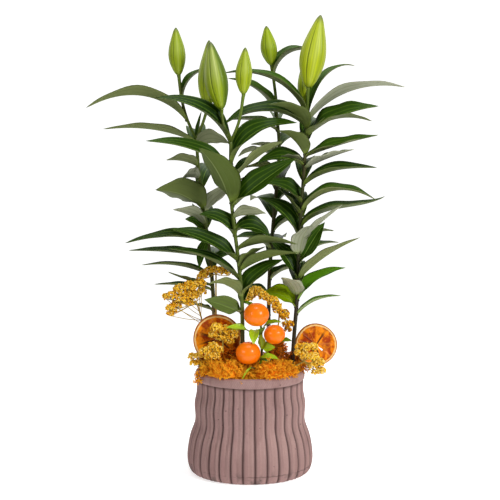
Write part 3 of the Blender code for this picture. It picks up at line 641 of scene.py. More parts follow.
def build_pot(settings):
    """The ribbed pot with its smooth rim band and hollow inside."""
    rim = smooth_profile([POT_RIBS[-1]] + POT_RIM, 4)[1:]
    profile = smooth_profile(POT_RIBS, 8) + rim
    columns = RIB_COUNT * RIB_COLUMNS
    pitch = 2 * math.pi / RIB_COUNT
    first_groove = math.radians(RIB_TURN - 90)
    width = math.radians(GROOVE_HALF_WIDTH) * 1.2

    def off_groove(turns):
        return (turns - first_groove + pitch / 2) % pitch - pitch / 2

    around = circle(columns)
    groove = bell(off_groove(around), width)
    crown = 1 - (2 * np.abs(off_groove(around)) / pitch) ** 2

    def radii_at(radius, height):
        if height > RIB_TOP or radius < LEAST_RIBBED_RADIUS or (radius, height) in rim:
            return np.full(columns, radius)
        fade = min(1.0, max(0.0, height / FOOT_FADE)) * min(1.0, max(0.0, RIB_TOP - height))
        relief = settings.groove_depth / MM * groove - CROWN_HEIGHT * crown + RIB_SETBACK
        sway = lumps(ring_directions(columns, 2, height * 0.03), 1.0)
        return radius - fade * relief + POT_SWAY * sway

    points, faces = turned(profile, columns, radii_at)
    turns, height = np.arctan2(points[:, 1], points[:, 0]), points[:, 2]
    outside = np.hypot(points[:, 0], points[:, 1]) > LEAST_RIBBED_RADIUS - 2
    ribbed = outside & (height < RIB_TOP - 0.5)
    # the grooves are darkened with painted shade, where their recesses would fall into shadow
    values = {"groove": bell(off_groove(turns), width) * ribbed,
              # painted shadow in a narrow band just under the rim band
              "shade": ribbed * bell(RIB_TOP - 0.6 - height, 2.2),
              "band": 1.0 * (outside & (height > RIB_TOP - 0.1) & (height < RIM_TOP - 1.5)),
              # painted shade on one side of each rib, as if the light came from the other side
              "flank": np.sin(((turns - first_groove) % pitch) / pitch * 2 * math.pi) * ribbed,
              "height": height,
              "around": ((turns - math.pi / 2) % (2 * math.pi)) / (2 * math.pi)}
    shape = Shape()
    shape.add(points, faces, values)
    place_finish(shape, "pot", clay_finish())


def build_soil(settings):
    """Dark soil that fills the pot, crumbly on top."""
    rng = np.random.default_rng(5)
    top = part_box("potting_soil")[1].z / MM
    profile = SOIL_WALL + [(radius, top - 1.2) for radius in SOIL_RINGS]
    points, faces = turned(profile, SOIL_COLUMNS, lambda radius, height: np.full(SOIL_COLUMNS, radius))
    rough = lumps(points, 0.16) + 0.6 * lumps(points, 0.45)
    on_top = points[:, 2] > top - 2
    points[on_top, 2] += np.clip(rough[on_top] * 2.0, -2.0, 1.2)
    shape = Shape()
    shape.add(points, faces)
    for _ in range(settings.crumbs):
        reach, turn = (RIM_INNER_RADIUS - 2) * math.sqrt(rng.random()), rng.random() * 2 * math.pi
        size = rng.uniform(*CRUMB_SIZES, 3) * (1, 0.7, 0.45)
        add_crumb(shape, (reach * math.cos(turn), reach * math.sin(turn), top - 0.6), size, rng)
    place(shape.object("soil_finish", soil_finish()), "potting_soil")


def icosahedron():
    """Points of unit length and faces of an icosahedron."""
    g = (1 + math.sqrt(5)) / 2
    points = np.array([(-1, g, 0), (1, g, 0), (-1, -g, 0), (1, -g, 0), (0, -1, g), (0, 1, g),
                       (0, -1, -g), (0, 1, -g), (g, 0, -1), (g, 0, 1), (-g, 0, -1), (-g, 0, 1)])
    faces = np.array([(0, 11, 5), (0, 5, 1), (0, 1, 7), (0, 7, 10), (0, 10, 11), (1, 5, 9),
                      (5, 11, 4), (11, 10, 2), (10, 7, 6), (7, 1, 8), (3, 9, 4), (3, 4, 2), (3, 2, 6),
                      (3, 6, 8), (3, 8, 9), (4, 9, 5), (2, 4, 11), (6, 2, 10), (8, 6, 7), (9, 8, 1)])
    return points / math.sqrt(1 + g * g), faces


CRUMB_POINTS, CRUMB_FACES = icosahedron()


def random_turn(rng):
    """A random rotation as a 3 by 3 array."""
    w, x, y, z = unit(rng.normal(size=4))
    return np.array([(1 - 2 * (y * y + z * z), 2 * (x * y - z * w), 2 * (x * z + y * w)),
                     (2 * (x * y + z * w), 1 - 2 * (x * x + z * z), 2 * (y * z - x * w)),
                     (2 * (x * z - y * w), 2 * (y * z + x * w), 1 - 2 * (x * x + y * y))])


def add_crumb(shape, centre, size, rng, tone=0.0):
    """A rough little lump with its own proportions."""
    points = CRUMB_POINTS * rng.uniform(0.78, 1.18, (12, 1)) * size
    shape.add(points @ random_turn(rng).T + centre, [CRUMB_FACES], {"tone": tone})


# Lilies ------------

def leaf_spine(start, leaf):
    """Points along the midrib, the blade's side and upper directions there, and the way gone."""
    spot = Vector(start)
    turn = math.radians(leaf.heading)
    side = Vector((-math.sin(turn), math.cos(turn), 0))
    spine = []
    for k in range(LEAF_STEPS + 1):
        t = k / LEAF_STEPS
        rise = math.radians(leaf.rise - leaf.arch * (1 - (1 - t) ** leaf.bend) + leaf.flick * t ** 3)
        along = Vector((math.cos(rise) * math.cos(turn), math.cos(rise) * math.sin(turn),
                        math.sin(rise)))
        up = along.cross(side)
        ramp = min(1.0, ROLL_RAMP * t)
        roll = math.radians(leaf.roll * ramp * ramp * (3 - 2 * ramp) + leaf.twist * t)
        spine.append((spot.copy(), side * math.cos(roll) + up * math.sin(roll),
                      up * math.cos(roll) - side * math.sin(roll), t))
        spot += along * leaf.length / LEAF_STEPS
    return spine


def blade_width(width, t):
    """Half the blade's width at t from its foot (0) to its tip (1)."""
    foot, tip = 0.75, 1.15
    widest = foot / (foot + tip)
    return 0.5 * width * (t + 0.03) ** foot * (1 - t) ** tip / (widest ** foot * (1 - widest) ** tip)


def add_blade(shape, start, leaf, tone, wave, rng):
    """A closed leaf blade: upper faces in the first slot, the underside in the second."""
    spine = leaf_spine(start, leaf)
    upper = np.linspace(-1, 1, 2 * BLADE_COLUMNS + 1)
    lower = upper[-2:0:-1]
    across = np.concatenate([upper, lower])
    is_low = np.arange(len(across)) >= len(upper)
    columns, rings = len(across), len(spine) - 1
    phase = rng.uniform(0, 2 * math.pi, 2)
    turns = rng.uniform(1.6, 3.2, 2)
    sway = rng.uniform(-1.5, 1.5) * wave
    points = []
    for centre, side, up, t in spine[:-1]:
        half = blade_width(leaf.width, t)
        fold = math.radians(leaf.fold * (1 - 0.45 * t))
        left, right = np.sin(turns * 2 * math.pi * t + phase)
        edge = np.where(across < 0, left, right)
        lift = half * math.sin(fold) * np.abs(across) ** EDGE_BOW
        lift = lift + wave * half * EDGE_WAVE * edge * np.abs(across) ** 2
        lift = lift + sway * math.sin(math.pi * t) * across
        thick = BLADE_THICKNESS * (1 - 0.75 * across ** 2) * min(1.0, 0.5 + 2 * t)
        rib = MIDRIB_HEIGHT * bell(across, MIDRIB_WIDTH) * (1 - t)
        lift = lift - np.where(is_low, thick + rib, MIDRIB_GROOVE * rib)
        points.append(np.array(centre) + np.outer(across * half * math.cos(fold), side)
                      + np.outer(lift, up))
    points.append(np.array([spine[-1][0]]))
    ring = np.arange(columns)
    last = (rings - 1) * columns
    tip = np.stack([last + ring, last + (ring + 1) % columns, np.full(columns, rings * columns)], axis=-1)
    under = np.where(ring < len(upper) - 1, 0, 1)
    values = {"across": np.append(np.tile(across, rings), 0.0), "tone": tone,
              "along": np.append(np.repeat([t for *_, t in spine[:-1]], columns), 1.0)}
    shape.add(np.concatenate(points), [ring_faces(columns, rings), tip, [ring[::-1]]], values,
              np.append(np.tile(under, rings), 1))


def point_at_height(route, height):
    """Where the route passes a height."""
    for lower, upper in zip(route, route[1:]):
        if lower.z <= height <= upper.z:
            return lower.lerp(upper, (height - lower.z) / (upper.z - lower.z))
    return route[-1]


def bud_axis(bud):
    """The direction from a bud's foot to its tip."""
    return (Vector(bud.tip) - Vector(bud.stalk[-1])).normalized()


def stalk_route(bud):
    """The stalk's curve, which meets the bud square to its axis."""
    route = smooth_route(bud.stalk, 6)
    return route[:-1] + [route[-1] - bud_axis(bud) * 2, route[-1]]


def whole_route(lily):
    """The stem's curve, carried on by its first bud's stalk."""
    stem = smooth_route(STEMS[lily], 3)
    stalk = smooth_route(next(iter(BUDS[lily].values())).stalk, 2)
    return stem + [p for p in stalk if p.z > stem[-1].z + 1]


def seed(name):
    """A random generator of the name's own."""
    return np.random.default_rng(sum(map(ord, name)))


def build_stem(lily):
    """One lily's stem with its bud stalks, the feet of its leaves and the scars of shed ones."""
    node = "lily_stem_" + lily
    rng = seed(lily)
    shape = Shape()
    green, dark, light = STEM_GREENS[lily]
    route = smooth_route(STEMS[lily], 8)
    heights = np.array([p.z for p in route])
    tones = np.clip((heights - dark) / (light - dark), 0, 1) * green
    tan = np.clip((DRY_HEIGHT - heights) / 25, 0, 1) * (0.85 if lily == DRY_STEM else 0.0)
    taper = 1 - 0.25 * np.arange(len(route)) / len(route)
    shape.tube(route, STEM_RADIUS * taper * (1 + 0.05 * lumps(route, 0.12)), 16, tone=tones, tan=tan)
    for bud in BUDS[lily].values():
        stalk = stalk_route(bud)
        way = np.linspace(0, 1, len(stalk))
        shape.tube(stalk, STALK_RADIUS * (1 + 0.35 * way ** 6), 12,
                   tone=np.linspace(tones[-1], 1.0, len(stalk)))
    whole = whole_route(lily)
    for leaf in LEAVES[lily]:
        foot, outwards = point_at_height(whole, leaf.height), heading(leaf.heading)
        knob = [foot - Vector((0, 0, 2.2)) + outwards * 1.2,
                foot + outwards * 2.0 - Vector((0, 0, 0.6)), foot + Vector((0, 0, 1.0)) + outwards * 1.6]
        shape.tube(knob, [0.5, 1.25, 0.8], 8, tone=0.5 * green)
    for _ in range(SCAR_COUNT):
        foot = point_at_height(whole, rng.uniform(*SCAR_HEIGHTS))
        outwards = heading(math.degrees(rng.uniform(0, 2 * math.pi))) * STEM_RADIUS * 0.85
        add_crumb(shape, np.array(foot + outwards), (1.0, 1.0, 0.6), rng)
    place_finish(shape, node, stem_finish())


def build_leaves(lily, settings):
    """One piece for each leaf of a lily."""
    finishes = blade_finish(), underside_finish()
    route = whole_route(lily)
    rng = np.random.default_rng(sum(map(ord, lily)) + 7)
    for number, leaf in enumerate(LEAVES[lily], 1):
        plain = 0.15 + 0.2 * rng.random()
        start = point_at_height(route, leaf.height) + heading(leaf.heading) * LEAF_FOOT
        shape = Shape()
        add_blade(shape, start, leaf, plain if leaf.tone is None else leaf.tone,
                  settings.waviness * rng.uniform(0.25, 0.7), rng)
        name = "lily_leaf_%s_%02d" % (lily, number)
        place(shape.object(name, *finishes), "lily_stem_" + lily)


def build_bud(name, bud):
    """Three outer tepals closed to a point, each with a raised rib, and seams between them."""
    columns, rings = 96, 60
    foot, tip = Vector(bud.stalk[-1]), Vector(bud.tip)
    side = bud_axis(bud).cross(Vector((0, 1, 0))).normalized()
    across = bud_axis(bud).cross(side)
    along = np.linspace(0, 1, rings)
    swell = np.interp(along, *zip(*smooth_profile(BUD_OUTLINE, 6)))
    turns = circle(columns)
    off_rib = (turns * 3 + math.pi) % (2 * math.pi) - math.pi
    rib, seam = bell(off_rib, 0.32), bell((turns * 3) % (2 * math.pi) - math.pi, 0.2)
    # painted shade: the right side darkened by the bud's own amount, and the far left edge a little
    rightward = np.cos(turns) * side.x + np.sin(turns) * across.x
    shade = np.maximum(np.clip((rightward - 0.25) * 2.5, 0, 1) * bud.shade,
                       0.12 * np.clip((-rightward - 0.6) * 2.5, 0, 1))
    points = []
    for t, w in zip(along, swell):
        relief = math.sin(math.pi * min(1.0, 0.12 + 0.8 * t)) ** 0.5 * (BUD_RIB * rib - BUD_SEAM * seam)
        radii = bud.radius * w * (1 + BUD_LOBE * np.cos(3 * turns) + relief)
        points.append(np.array(foot.lerp(tip, t)) + np.outer(radii * np.cos(turns), side)
                      + np.outer(radii * np.sin(turns), across))
    # the pale bands between each rib and its seams carry a painted highlight
    values = {label: np.tile(ring, rings) for label, ring in (
        ("rib", rib), ("seam", seam), ("band", bell(np.abs(off_rib) - 1.3, 0.45)), ("shade", shade),
        ("around", np.abs(turns / math.pi - 1)))}
    values.update(along=np.repeat(along, columns), tone=bud.tone, frost=bud.frost)
    shape = Shape()
    shape.skin(points, values)
    place_finish(shape, name, bud_finish())


# Calamondins ------------

def build_fruit(name):
    """A small flattened citrus fruit, puckered at both ends, with a calyx where its twig joins."""
    low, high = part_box(name)
    centre = (low + high) / 2 / MM
    half = (high - low) / 2 / MM
    rng = np.random.default_rng(int(centre.z))
    points = []
    for level in np.linspace(-math.pi / 2 + 0.03, math.pi / 2 - 0.03, 40):
        out = ring_directions(64, math.cos(level), math.sin(level))
        swell = 1 + 0.02 * lumps(out, 1.6, centre)
        pucker = 1 - 0.10 * bell(math.pi / 2 - abs(level), 0.22)
        points.append(np.array(centre) + out * swell[:, None] * np.array(half) * (1, 1, pucker))
    shape = Shape()
    shape.skin(points)
    add_crumb(shape, np.array(centre) + (0, 0, half.z * 0.9), (1.4, 1.4, 0.8), rng)
    place_finish(shape, name, peel_finish())


def build_sprig(settings):
    """The calamondin twig and its leaves."""
    rng = np.random.default_rng(23)
    shape = Shape()
    for number, points in enumerate(TWIG_ROUTES):
        shape.tube(smooth_route(points, 6), TWIG_RADIUS * (1.0 if number == 0 else 0.8), 10)
    for joint, foot, _ in SPRIG_LEAVES:
        shape.tube([joint, Vector(joint).lerp(Vector(foot), 0.5), foot], 0.7, 8)
    place(shape.object("calamondin_twig", twig_finish()), "calamondin_sprig")
    finish = sprig_finish()
    for number, (_, foot, blade) in enumerate(SPRIG_LEAVES, 1):
        shape = Shape()
        add_blade(shape, foot, blade, blade.tone, settings.waviness * 0.6, rng)
        place(shape.object("calamondin_leaf_%02d" % number, finish, finish),
              "calamondin_sprig")


# Dried orange slices ------------

def slice_faces(open_cells, columns):
    """Quads of a disc's front and back, with walls round its edges; open cells are left out."""
    total = (len(open_cells) + 1) * columns
    solid = ~open_cells
    faces = []
    for i, j in zip(*np.nonzero(solid)):
        k = (j + 1) % columns
        a, b, c, d = i * columns + j, i * columns + k, (i + 1) * columns + k, (i + 1) * columns + j
        faces += [(a, d, c, b), (a + total, b + total, c + total, d + total)]
        if i == 0 or not solid[i - 1, j]:
            faces.append((a, b, b + total, a + total))
        if i == len(solid) - 1 or not solid[i + 1, j]:
            faces.append((d, d + total, c + total, c))
        if not solid[i, j - 1]:
            faces.append((a, a + total, d + total, d))
        if not solid[i, k]:
            faces.append((b, c, c + total, b + total))
    return faces


def build_slice(name, settings):
    """A dried slice: rind, pith, sunken segments of flesh and burnt streaks by the membranes."""
    cut = SLICES[name]
    turn, lean = math.radians(cut.turn), math.radians(cut.lean)
    facing = np.array((math.sin(turn) * math.cos(lean), -math.cos(turn) * math.cos(lean),
                       math.sin(lean)))
    side = np.array((math.cos(turn), math.sin(turn), 0.0))
    up = np.cross(side, facing)
    rng = np.random.default_rng(len(name))
    columns, rings = 180, 30
    around, reach = np.meshgrid(circle(columns), np.linspace(0.03, 1.0, rings))

    def roughness(scale):
        where = [reach * np.cos(around) * scale, reach * np.sin(around) * scale,
                 np.full(reach.shape, cut.radius)]
        return lumps(np.stack(where, axis=-1).reshape(-1, 3), 1.0).reshape(reach.shape)

    skew = 0.25 * np.sin(around + rng.uniform(0, 6)) + 0.12 * np.sin(2 * around + rng.uniform(0, 6))
    phase = (around + skew) * SEGMENTS / (2 * math.pi)
    off = np.abs((phase + 0.5) % 1 - 0.5) * 2
    number = np.floor(phase + 0.5).astype(int) % SEGMENTS
    streaked = rng.random(SEGMENTS)[number] > 0.35
    membrane = bell(off * reach, MEMBRANE_WIDTH)
    rough, fine = roughness(3), roughness(11)
    torn = ((number == settings.torn_segment) & (off < 0.3) & (reach > TORN_REACH[0])
            & (reach < TORN_REACH[1]))
    flesh = (reach > FLESH_REACH[0]) & (reach < FLESH_REACH[1])
    sunk = np.where(flesh, 1.0 - membrane, 0.0) * (0.55 + 0.45 * rough)
    sunk = sunk * np.minimum(1, (0.9 - reach) / 0.1 * (reach < 0.9))
    depth = SLICE_THICKNESS / 2 * (1 - FLESH_SINK * sunk)
    depth = depth * np.where(reach > EDGE_REACH, 0.75, 1.0) + 0.10 * fine
    warp = 0.9 * noise.noise(Vector((1.7, 2.9, cut.radius))) * reach ** 2 * np.cos(2 * around + 1.0)
    radius = cut.radius * reach * (1 + 0.012 * np.sin(3 * around + 1.0) * reach)
    flat = (np.array(cut.centre) + (radius * np.cos(around))[..., None] * side
            + (radius * np.sin(around))[..., None] * up)
    front = flat + (depth + warp)[..., None] * facing
    back = flat + (warp - depth)[..., None] * facing
    streak = bell((off - 0.12) * reach, 0.07) * streaked
    burnt = streak * np.clip((0.8 - reach) / 0.25, 0, 1) + 0.5 * np.clip(rough, 0, 1)
    values = {label: np.tile(value.ravel(), 2) for label, value in (
        ("reach", reach + 0.02 * fine), ("membrane", membrane), ("burnt", np.clip(burnt, 0, 1)))}
    shape = Shape()
    shape.add(np.concatenate([front.reshape(-1, 3), back.reshape(-1, 3)]),
              [slice_faces(torn[:-1] & cut.torn, columns)], values)
    place_finish(shape, name, dried_orange_finish())


# Dried yarrow ------------

def scatter_on_lump(centre, half, count, rng, lowest):
    """Points spread over a lump's surface with their outward directions."""
    steps = np.arange(count) + 0.5
    level = 1 - (1 - lowest) * steps / count
    turn = math.pi * (1 + math.sqrt(5)) * steps + rng.uniform(0, 6)
    flat = np.sqrt(np.maximum(0.0, 1 - level ** 2))
    out = np.stack([flat * np.cos(turn), flat * np.sin(turn), level], axis=-1)
    out += rng.normal(scale=0.08, size=out.shape)
    out /= np.linalg.norm(out, axis=1)[:, None]
    return np.array(centre) + out * half, out


def add_floret_cluster(shape, centre, out, count, rng, warmth):
    """A little dome of florets."""
    for _ in range(count):
        spot = unit(rng.normal(size=3))
        if spot @ out < -0.2:
            spot = -spot
        tone = min(1.0, max(-0.1, warmth + rng.normal(scale=0.3)))
        size = rng.uniform(*FLORET_SIZES) * np.array((1, 1, rng.uniform(0.7, 1.2)))
        add_crumb(shape, centre + spot * CLUSTER_REACH * rng.uniform(0.4, 1.0), size, rng, tone)


def add_tuft(shape, centre, radius, neck, warmth, settings, rng):
    """One rounded tuft of florets on the forked stalks that carry it."""
    half = np.array((radius, radius * 0.85, radius * 0.75))
    count = max(6, int(radius * radius / settings.cluster_area * 12))
    spots, outs = scatter_on_lump(centre, half * 0.8, count, rng, -0.55)
    under = centre - (0, 0, radius * 0.7)
    for number, (spot, out) in enumerate(zip(spots, outs)):
        add_floret_cluster(shape, spot, out, settings.florets, rng, warmth)
        if number % 3 == 0:
            shape.tube([under, (under + spot) / 2 + (0, 0, -0.6), spot], 0.35, 5, tone=STALK_TONE)
    bend = np.array(neck) * 0.45 + under * 0.55 - (0, 0, radius * 0.25)
    shape.tube(smooth_route([neck, bend, under], 4), 0.45, 5, tone=STALK_TONE)


def build_yarrow(name, settings):
    """A dried head of several tufts of small florets."""
    rng = seed(name)
    head = YARROW[name]
    shape = Shape()
    route = smooth_route(head.stalk, 5)
    for right, above, radius in head.tufts:
        centre = np.array(head.centre) + (right, rng.uniform(-0.3, 0.3) * head.half_depth, above)
        add_tuft(shape, centre, radius, route[0], head.warmth, settings, rng)
    if name == LOOSE_YARROW:
        for number, (right, above, radius) in enumerate(head.tufts[::2]):
            top = np.array(head.centre) + (right, 0, above - radius * 0.6)
            joint = np.array(route[3 + number // 2])
            shape.tube(smooth_route([top, (top + joint) / 2 - (0, 0, 1), joint], 4), FINE_STALK_RADIUS,
                       5, tone=STALK_TONE)
    shape.tube(route, YARROW_STALK_RADIUS, 8, tone=STALK_TONE)
    place_finish(shape, name, yarrow_finish())


def build_bowed_yarrow(settings):
    """The long head that bows over behind the fruits."""
    rng = np.random.default_rng(77)
    shape = Shape()
    route = smooth_route(BOW_ROUTE, 3)
    for k, centre in enumerate(route[:-1]):
        t = k / (len(route) - 1)
        radius = BOW_RADIUS * (1.1 - 0.55 * t) * rng.uniform(0.75, 1.15)
        spot = np.array(centre) + rng.normal(scale=1.6, size=3) * (1, 0.6, 1)
        add_tuft(shape, spot, radius, centre, 0.75 - 0.75 * t, settings, rng)
    shape.tube(smooth_route(BOW_ROUTE, 5), 1.0, 6, tone=STALK_TONE)
    shape.tube(smooth_route(BOW_STALK, 5), YARROW_STALK_RADIUS, 8, tone=STALK_TONE)
    place_finish(shape, "yarrow_bowed", yarrow_finish())


# Reindeer moss ------------

def add_sprout(shape, foot, direction, length, radius, forks, warmth, rng):
    """A forked sprout: each branch splits into two or three shorter ones."""
    tip = foot + direction * length
    middle = (foot + tip) / 2 + rng.normal(scale=length * 0.12, size=3)
    shape.tube([foot, middle, tip], [radius, radius * 0.9, radius * 0.55], 3,
               tone=warmth + 0.2 * (SPROUT_FORKS - forks) + 0.15 * float(rng.normal()))
    if forks == 0:
        return
    for _ in range(rng.integers(2, 4)):
        lean = unit(direction + rng.normal(scale=0.62, size=3))
        add_sprout(shape, tip, lean, length * rng.uniform(*SPROUT_SHARES), radius * 0.8, forks - 1,
                   warmth, rng)


def over_rim(points):
    """Points of a clump kept off the pot: inside its wall, or above its rim."""
    points = points.copy()
    reach = np.hypot(points[:, 0], points[:, 1])
    low = (reach > RIM_INNER_RADIUS - 1) & (points[:, 2] < RIM_TOP + 0.4)
    limit = np.where(low, RIM_INNER_RADIUS - 1, RIM_OUTER_RADIUS)
    points[:, :2] *= np.minimum(1.0, limit / np.maximum(reach, 1.0))[:, None]
    return points


def build_moss(name, settings):
    """A springy clump: a lumpy bed under a fleece of forked sprouts."""
    rng = seed(name)
    clump = MOSS[name]
    foot = SOIL_TOP + 0.4
    centre = np.array((*clump.centre[:2], foot))
    half = np.array((*clump.half_size[:2], clump.centre[2] + clump.half_size[2] - foot))
    half *= (1.08, 1.0, 1.1 if name == "moss_middle" else 1.0)
    points = []
    for level in np.linspace(0.0, math.pi / 2 - 0.06, 16):
        out = ring_directions(56, math.cos(level) ** 0.6, math.sin(level) ** 0.75)
        swell = 0.9 + 0.14 * lumps(out, 3.1, centre) + 0.07 * lumps(out, 9.0, centre)
        points.append(over_rim(centre + out * swell[:, None] * half))
    shape = Shape()
    shape.skin(points, {"tone": clump.warmth - 0.35})
    area = 2 * math.pi * (half[0] * half[1] + half[0] * half[2] + half[1] * half[2]) / 3
    outs = scatter_on_lump(centre, half, int(area / settings.sprout_area), rng, 0.04)[1]
    level = np.clip(outs[:, 2], 0.0, 1.0)
    flat = np.sqrt(1 - level ** 2)
    boxy = outs * np.stack([flat ** -0.4, flat ** -0.4, level ** -0.25], axis=-1)
    for spot, out in zip(over_rim(centre + boxy * half * 0.93), outs):
        if spot[2] < RIM_TOP - 5 and spot[1] < -MOSS_SETBACK:
            continue
        lean = unit(out + rng.normal(scale=0.45, size=3))
        stray = STRAY_LENGTH if rng.random() < STRAY_CHANCE else 1.0
        length = settings.sprout_length / MM * rng.uniform(0.6, 1.15) * stray
        add_sprout(shape, spot, lean, length, SPROUT_RADIUS, SPROUT_FORKS, clump.warmth, rng)
    for x, y, z, reach, tone in clump.tufts:
        size = reach, reach * 0.6, reach
        for spot, out in zip(*scatter_on_lump((x, y, z), size, int(reach * 7), rng, -0.5)):
            add_sprout(shape, spot - out * 2, out, TUFT_SPROUT_LENGTH, SPROUT_RADIUS, SPROUT_FORKS,
                       tone, rng)
    place_finish(shape, name, moss_finish())


# Finishes ------------

def clay_finish():
    """Matt clay: streaked ribs, pinholes, a joint near the foot and a hatched rim, with painted shade
    darkening the grooves and one side of each rib, and a painted shadow under the rim band.
    """
    f = Finish("mauve_clay", 0.88, Specular_IOR_Level=0.3)
    height = f.value("height")
    broad, grain = f.noise(9.0, 3.0), f.noise(420.0, 5.0)
    f.body = f.mix(f.span(broad, 0.3, 0.7), chosen("clay_dark"), chosen("clay_light"))
    f.coat(f.span(grain, 0.35, 0.75), (182, 152, 145), 0.25)
    f.coat(f.span(f.streaks(120.0, 4.0, 0.03), 0.48, 0.66), (130, 98, 94), 0.45)
    # painted shade on one side of each rib
    f.coat(f.span(f.value("flank"), 0.0, 1.0), (120, 90, 88), 0.34)
    f.coat(f.span(height, 6.0, 60.0, 0.35, 0.0), (118, 88, 86))
    joint = f.near(height, 10.5, 0.2, 1.1, 0.6)
    f.coat(f.times(joint, f.span(f.noise(40.0, 2.0), 0.42, 0.55)), (88, 66, 64))
    by_foot = f.span(height, 4.0, 20.0, 0.75, 0.0)
    f.coat(f.times(f.span(f.noise(60.0, 5.0), 0.52, 0.64), by_foot), (92, 76, 72))
    # painted shade in the grooves
    f.coat(f.value("groove"), (50, 28, 28))
    # painted shadow under the rim band
    f.coat(f.value("shade"), (64, 42, 40), 0.75)
    lines = f.math("ADD", f.times(f.value("around"), 1100.0), f.times(height, 1.6))
    hatch = f.times(f.waves(lines), f.value("band"))
    f.coat(hatch, (112, 82, 78), 0.22)
    where = f.math("MAXIMUM", f.span(f.noise(60.0, 2.0), 0.58, 0.63), f.near(height, 64.0, 0.8, 2.4))
    holes = f.times(f.span(f.cells(150.0), 0.09, 0.17, 1.0, 0.0), where)
    f.coat(holes, (78, 54, 52), 0.85)
    return f.done((grain, 0.3, 0.3), (f.times(holes, -1.0), 0.8, 0.5), (hatch, 0.3, 0.3),
                  (broad, 0.2, 1.0))


def soil_finish():
    """Dark peat."""
    f = Finish("potting_soil", 0.95)
    crumbs = f.noise(260.0, 6.0)
    f.body = f.mix(crumbs, (28, 18, 12), (74, 52, 38))
    return f.done((crumbs, 0.8, 1.2))


def stem_finish():
    """Dark and streaked low down, greener by its tone, flecked, and tan where it is dry."""
    f = Finish("lily_stem", 0.42, Specular_IOR_Level=0.3)
    streaks = f.streaks(180.0, 3.0, 0.08)
    low = f.mix(streaks, (38, 36, 24), (66, 60, 42))
    f.body = f.mix(f.value("tone"), low, f.mix(streaks, (92, 118, 34), (130, 150, 56)))
    f.coat(f.span(f.streaks(60.0, 4.0, 0.35), 0.52, 0.68), (84, 66, 44), 0.5)
    f.coat(f.value("tan"), f.mix(streaks, (158, 140, 96), (196, 182, 142)))
    return f.done((streaks, 0.4, 0.4))


FOOT_GREEN = (146, 168, 66)


def blade_coats(f, cloud, tones, vein, midrib, rib_width):
    """A blade's shades, each taking over as its tone rises, then its veins and midrib."""
    tone, across = f.value("tone"), f.value("across")
    for low, high, dark, light in tones:
        f.coat(f.span(tone, low, high), f.mix(cloud, dark, light))
    veins = f.span(f.math("SINE", f.math("ADD", f.times(across, 19.0), math.pi / 2)), 0.5, 1.0)
    f.coat(veins, *vein)
    f.coat(f.near(across, 0.0, 0.0, rib_width), *midrib)
    return veins


def blade_finish():
    """The upper face of a lily leaf, with a paler edge and foot."""
    f = Finish("lily_blade", 0.42, Specular_IOR_Level=0.12)
    cloud = f.noise(28.0, 3.0)
    f.body = f.mix(cloud, chosen("leaf_dark"), chosen("leaf_light"))
    # from tone 0.5 to 1 the blade turns paler grey-green: painted sheen and painted light
    veins = blade_coats(f, cloud, [(0.0, 0.5, (40, 72, 8), (64, 96, 20)),
                                   (0.5, 1.0, (86, 102, 44), (110, 124, 66)),
                                   (1.0, 1.35, (84, 136, 14), (84, 136, 14)),
                                   (1.4, 2.0, (134, 160, 0), (134, 160, 0))],
                        ((108, 140, 40), 0.34), ((138, 166, 72), 0.7), 0.05)
    f.coat(f.span(f.math("ABSOLUTE", f.value("across")), 0.9, 1.0), (136, 162, 76), 0.6)
    f.coat(f.span(f.value("along"), 0.0, 0.16, 0.6, 0.0), FOOT_GREEN)
    f.feed(f.shader.inputs["Roughness"], f.span(cloud, 0.2, 0.8, 0.34, 0.5))
    return f.done((veins, 0.35, 0.25), (cloud, 0.25, 1.0))


def underside_finish():
    """The duller underside of a lily leaf."""
    f = Finish("lily_underside", 0.55, Specular_IOR_Level=0.2)
    cloud = f.noise(28.0, 3.0)
    f.body = f.mix(cloud, chosen("underside_dark"), chosen("underside_light"))
    # from tone 0.5 to 0.95 the underside turns silvery grey: painted sheen and painted light over its own
    # paler green
    veins = blade_coats(f, cloud, [(0.0, 0.5, (104, 114, 62), (126, 134, 82)),
                                   (0.5, 0.95, (152, 156, 128), (180, 182, 158)),
                                   (1.0, 1.35, (104, 142, 34), (104, 142, 34)),
                                   (1.4, 2.0, (144, 168, 20), (144, 168, 20))],
                        ((84, 98, 46), 0.3), ((150, 164, 100), 0.55), 0.06)
    f.coat(f.span(f.value("along"), 0.0, 0.16, 0.55, 0.0), FOOT_GREEN)
    return f.done((veins, 0.35, 0.25))


def bud_finish():
    """Fine lines along the bud, frosted above, dark in the seams, with painted highlight in pale bands
    beside them and painted shade on its right side.
    """
    f = Finish("lily_bud", 0.4, Specular_IOR_Level=0.3)
    streaks = f.streaks(240.0, 3.0, 0.07)
    along = f.value("along")
    green = f.mix(streaks, (120, 150, 0), chosen("bud_green"))
    f.body = f.mix(f.value("tone"), green, f.mix(streaks, (182, 198, 0), chosen("bud_bright")))
    frost = f.times(f.span(along, 0.2, 0.75), f.value("frost"))
    f.coat(frost, (158, 172, 96), 0.6)
    # painted highlight in the pale bands, stronger where the bud is frosted
    f.coat(f.times(f.value("band"), f.math("ADD", f.times(frost, 0.5), 0.15)), (222, 230, 150))
    lines = f.waves(f.times(f.value("around"), 90.0))
    f.coat(lines, (104, 130, 34), 0.24)
    f.coat(f.span(f.value("rib"), 0.3, 1.0), (108, 136, 26), 0.5)
    f.coat(f.span(f.value("seam"), 0.2, 1.0), (60, 82, 22), 0.8)
    # painted shade on the right side and the far left edge
    f.coat(f.value("shade"), (74, 100, 14))
    f.coat(f.span(along, 0.86, 1.0, 0.0, 0.85), (88, 100, 66))
    f.coat(f.span(along, 0.0, 0.07, 0.5, 0.0), (104, 128, 36))
    return f.done((streaks, 0.3, 0.4), (lines, 0.3, 0.25))


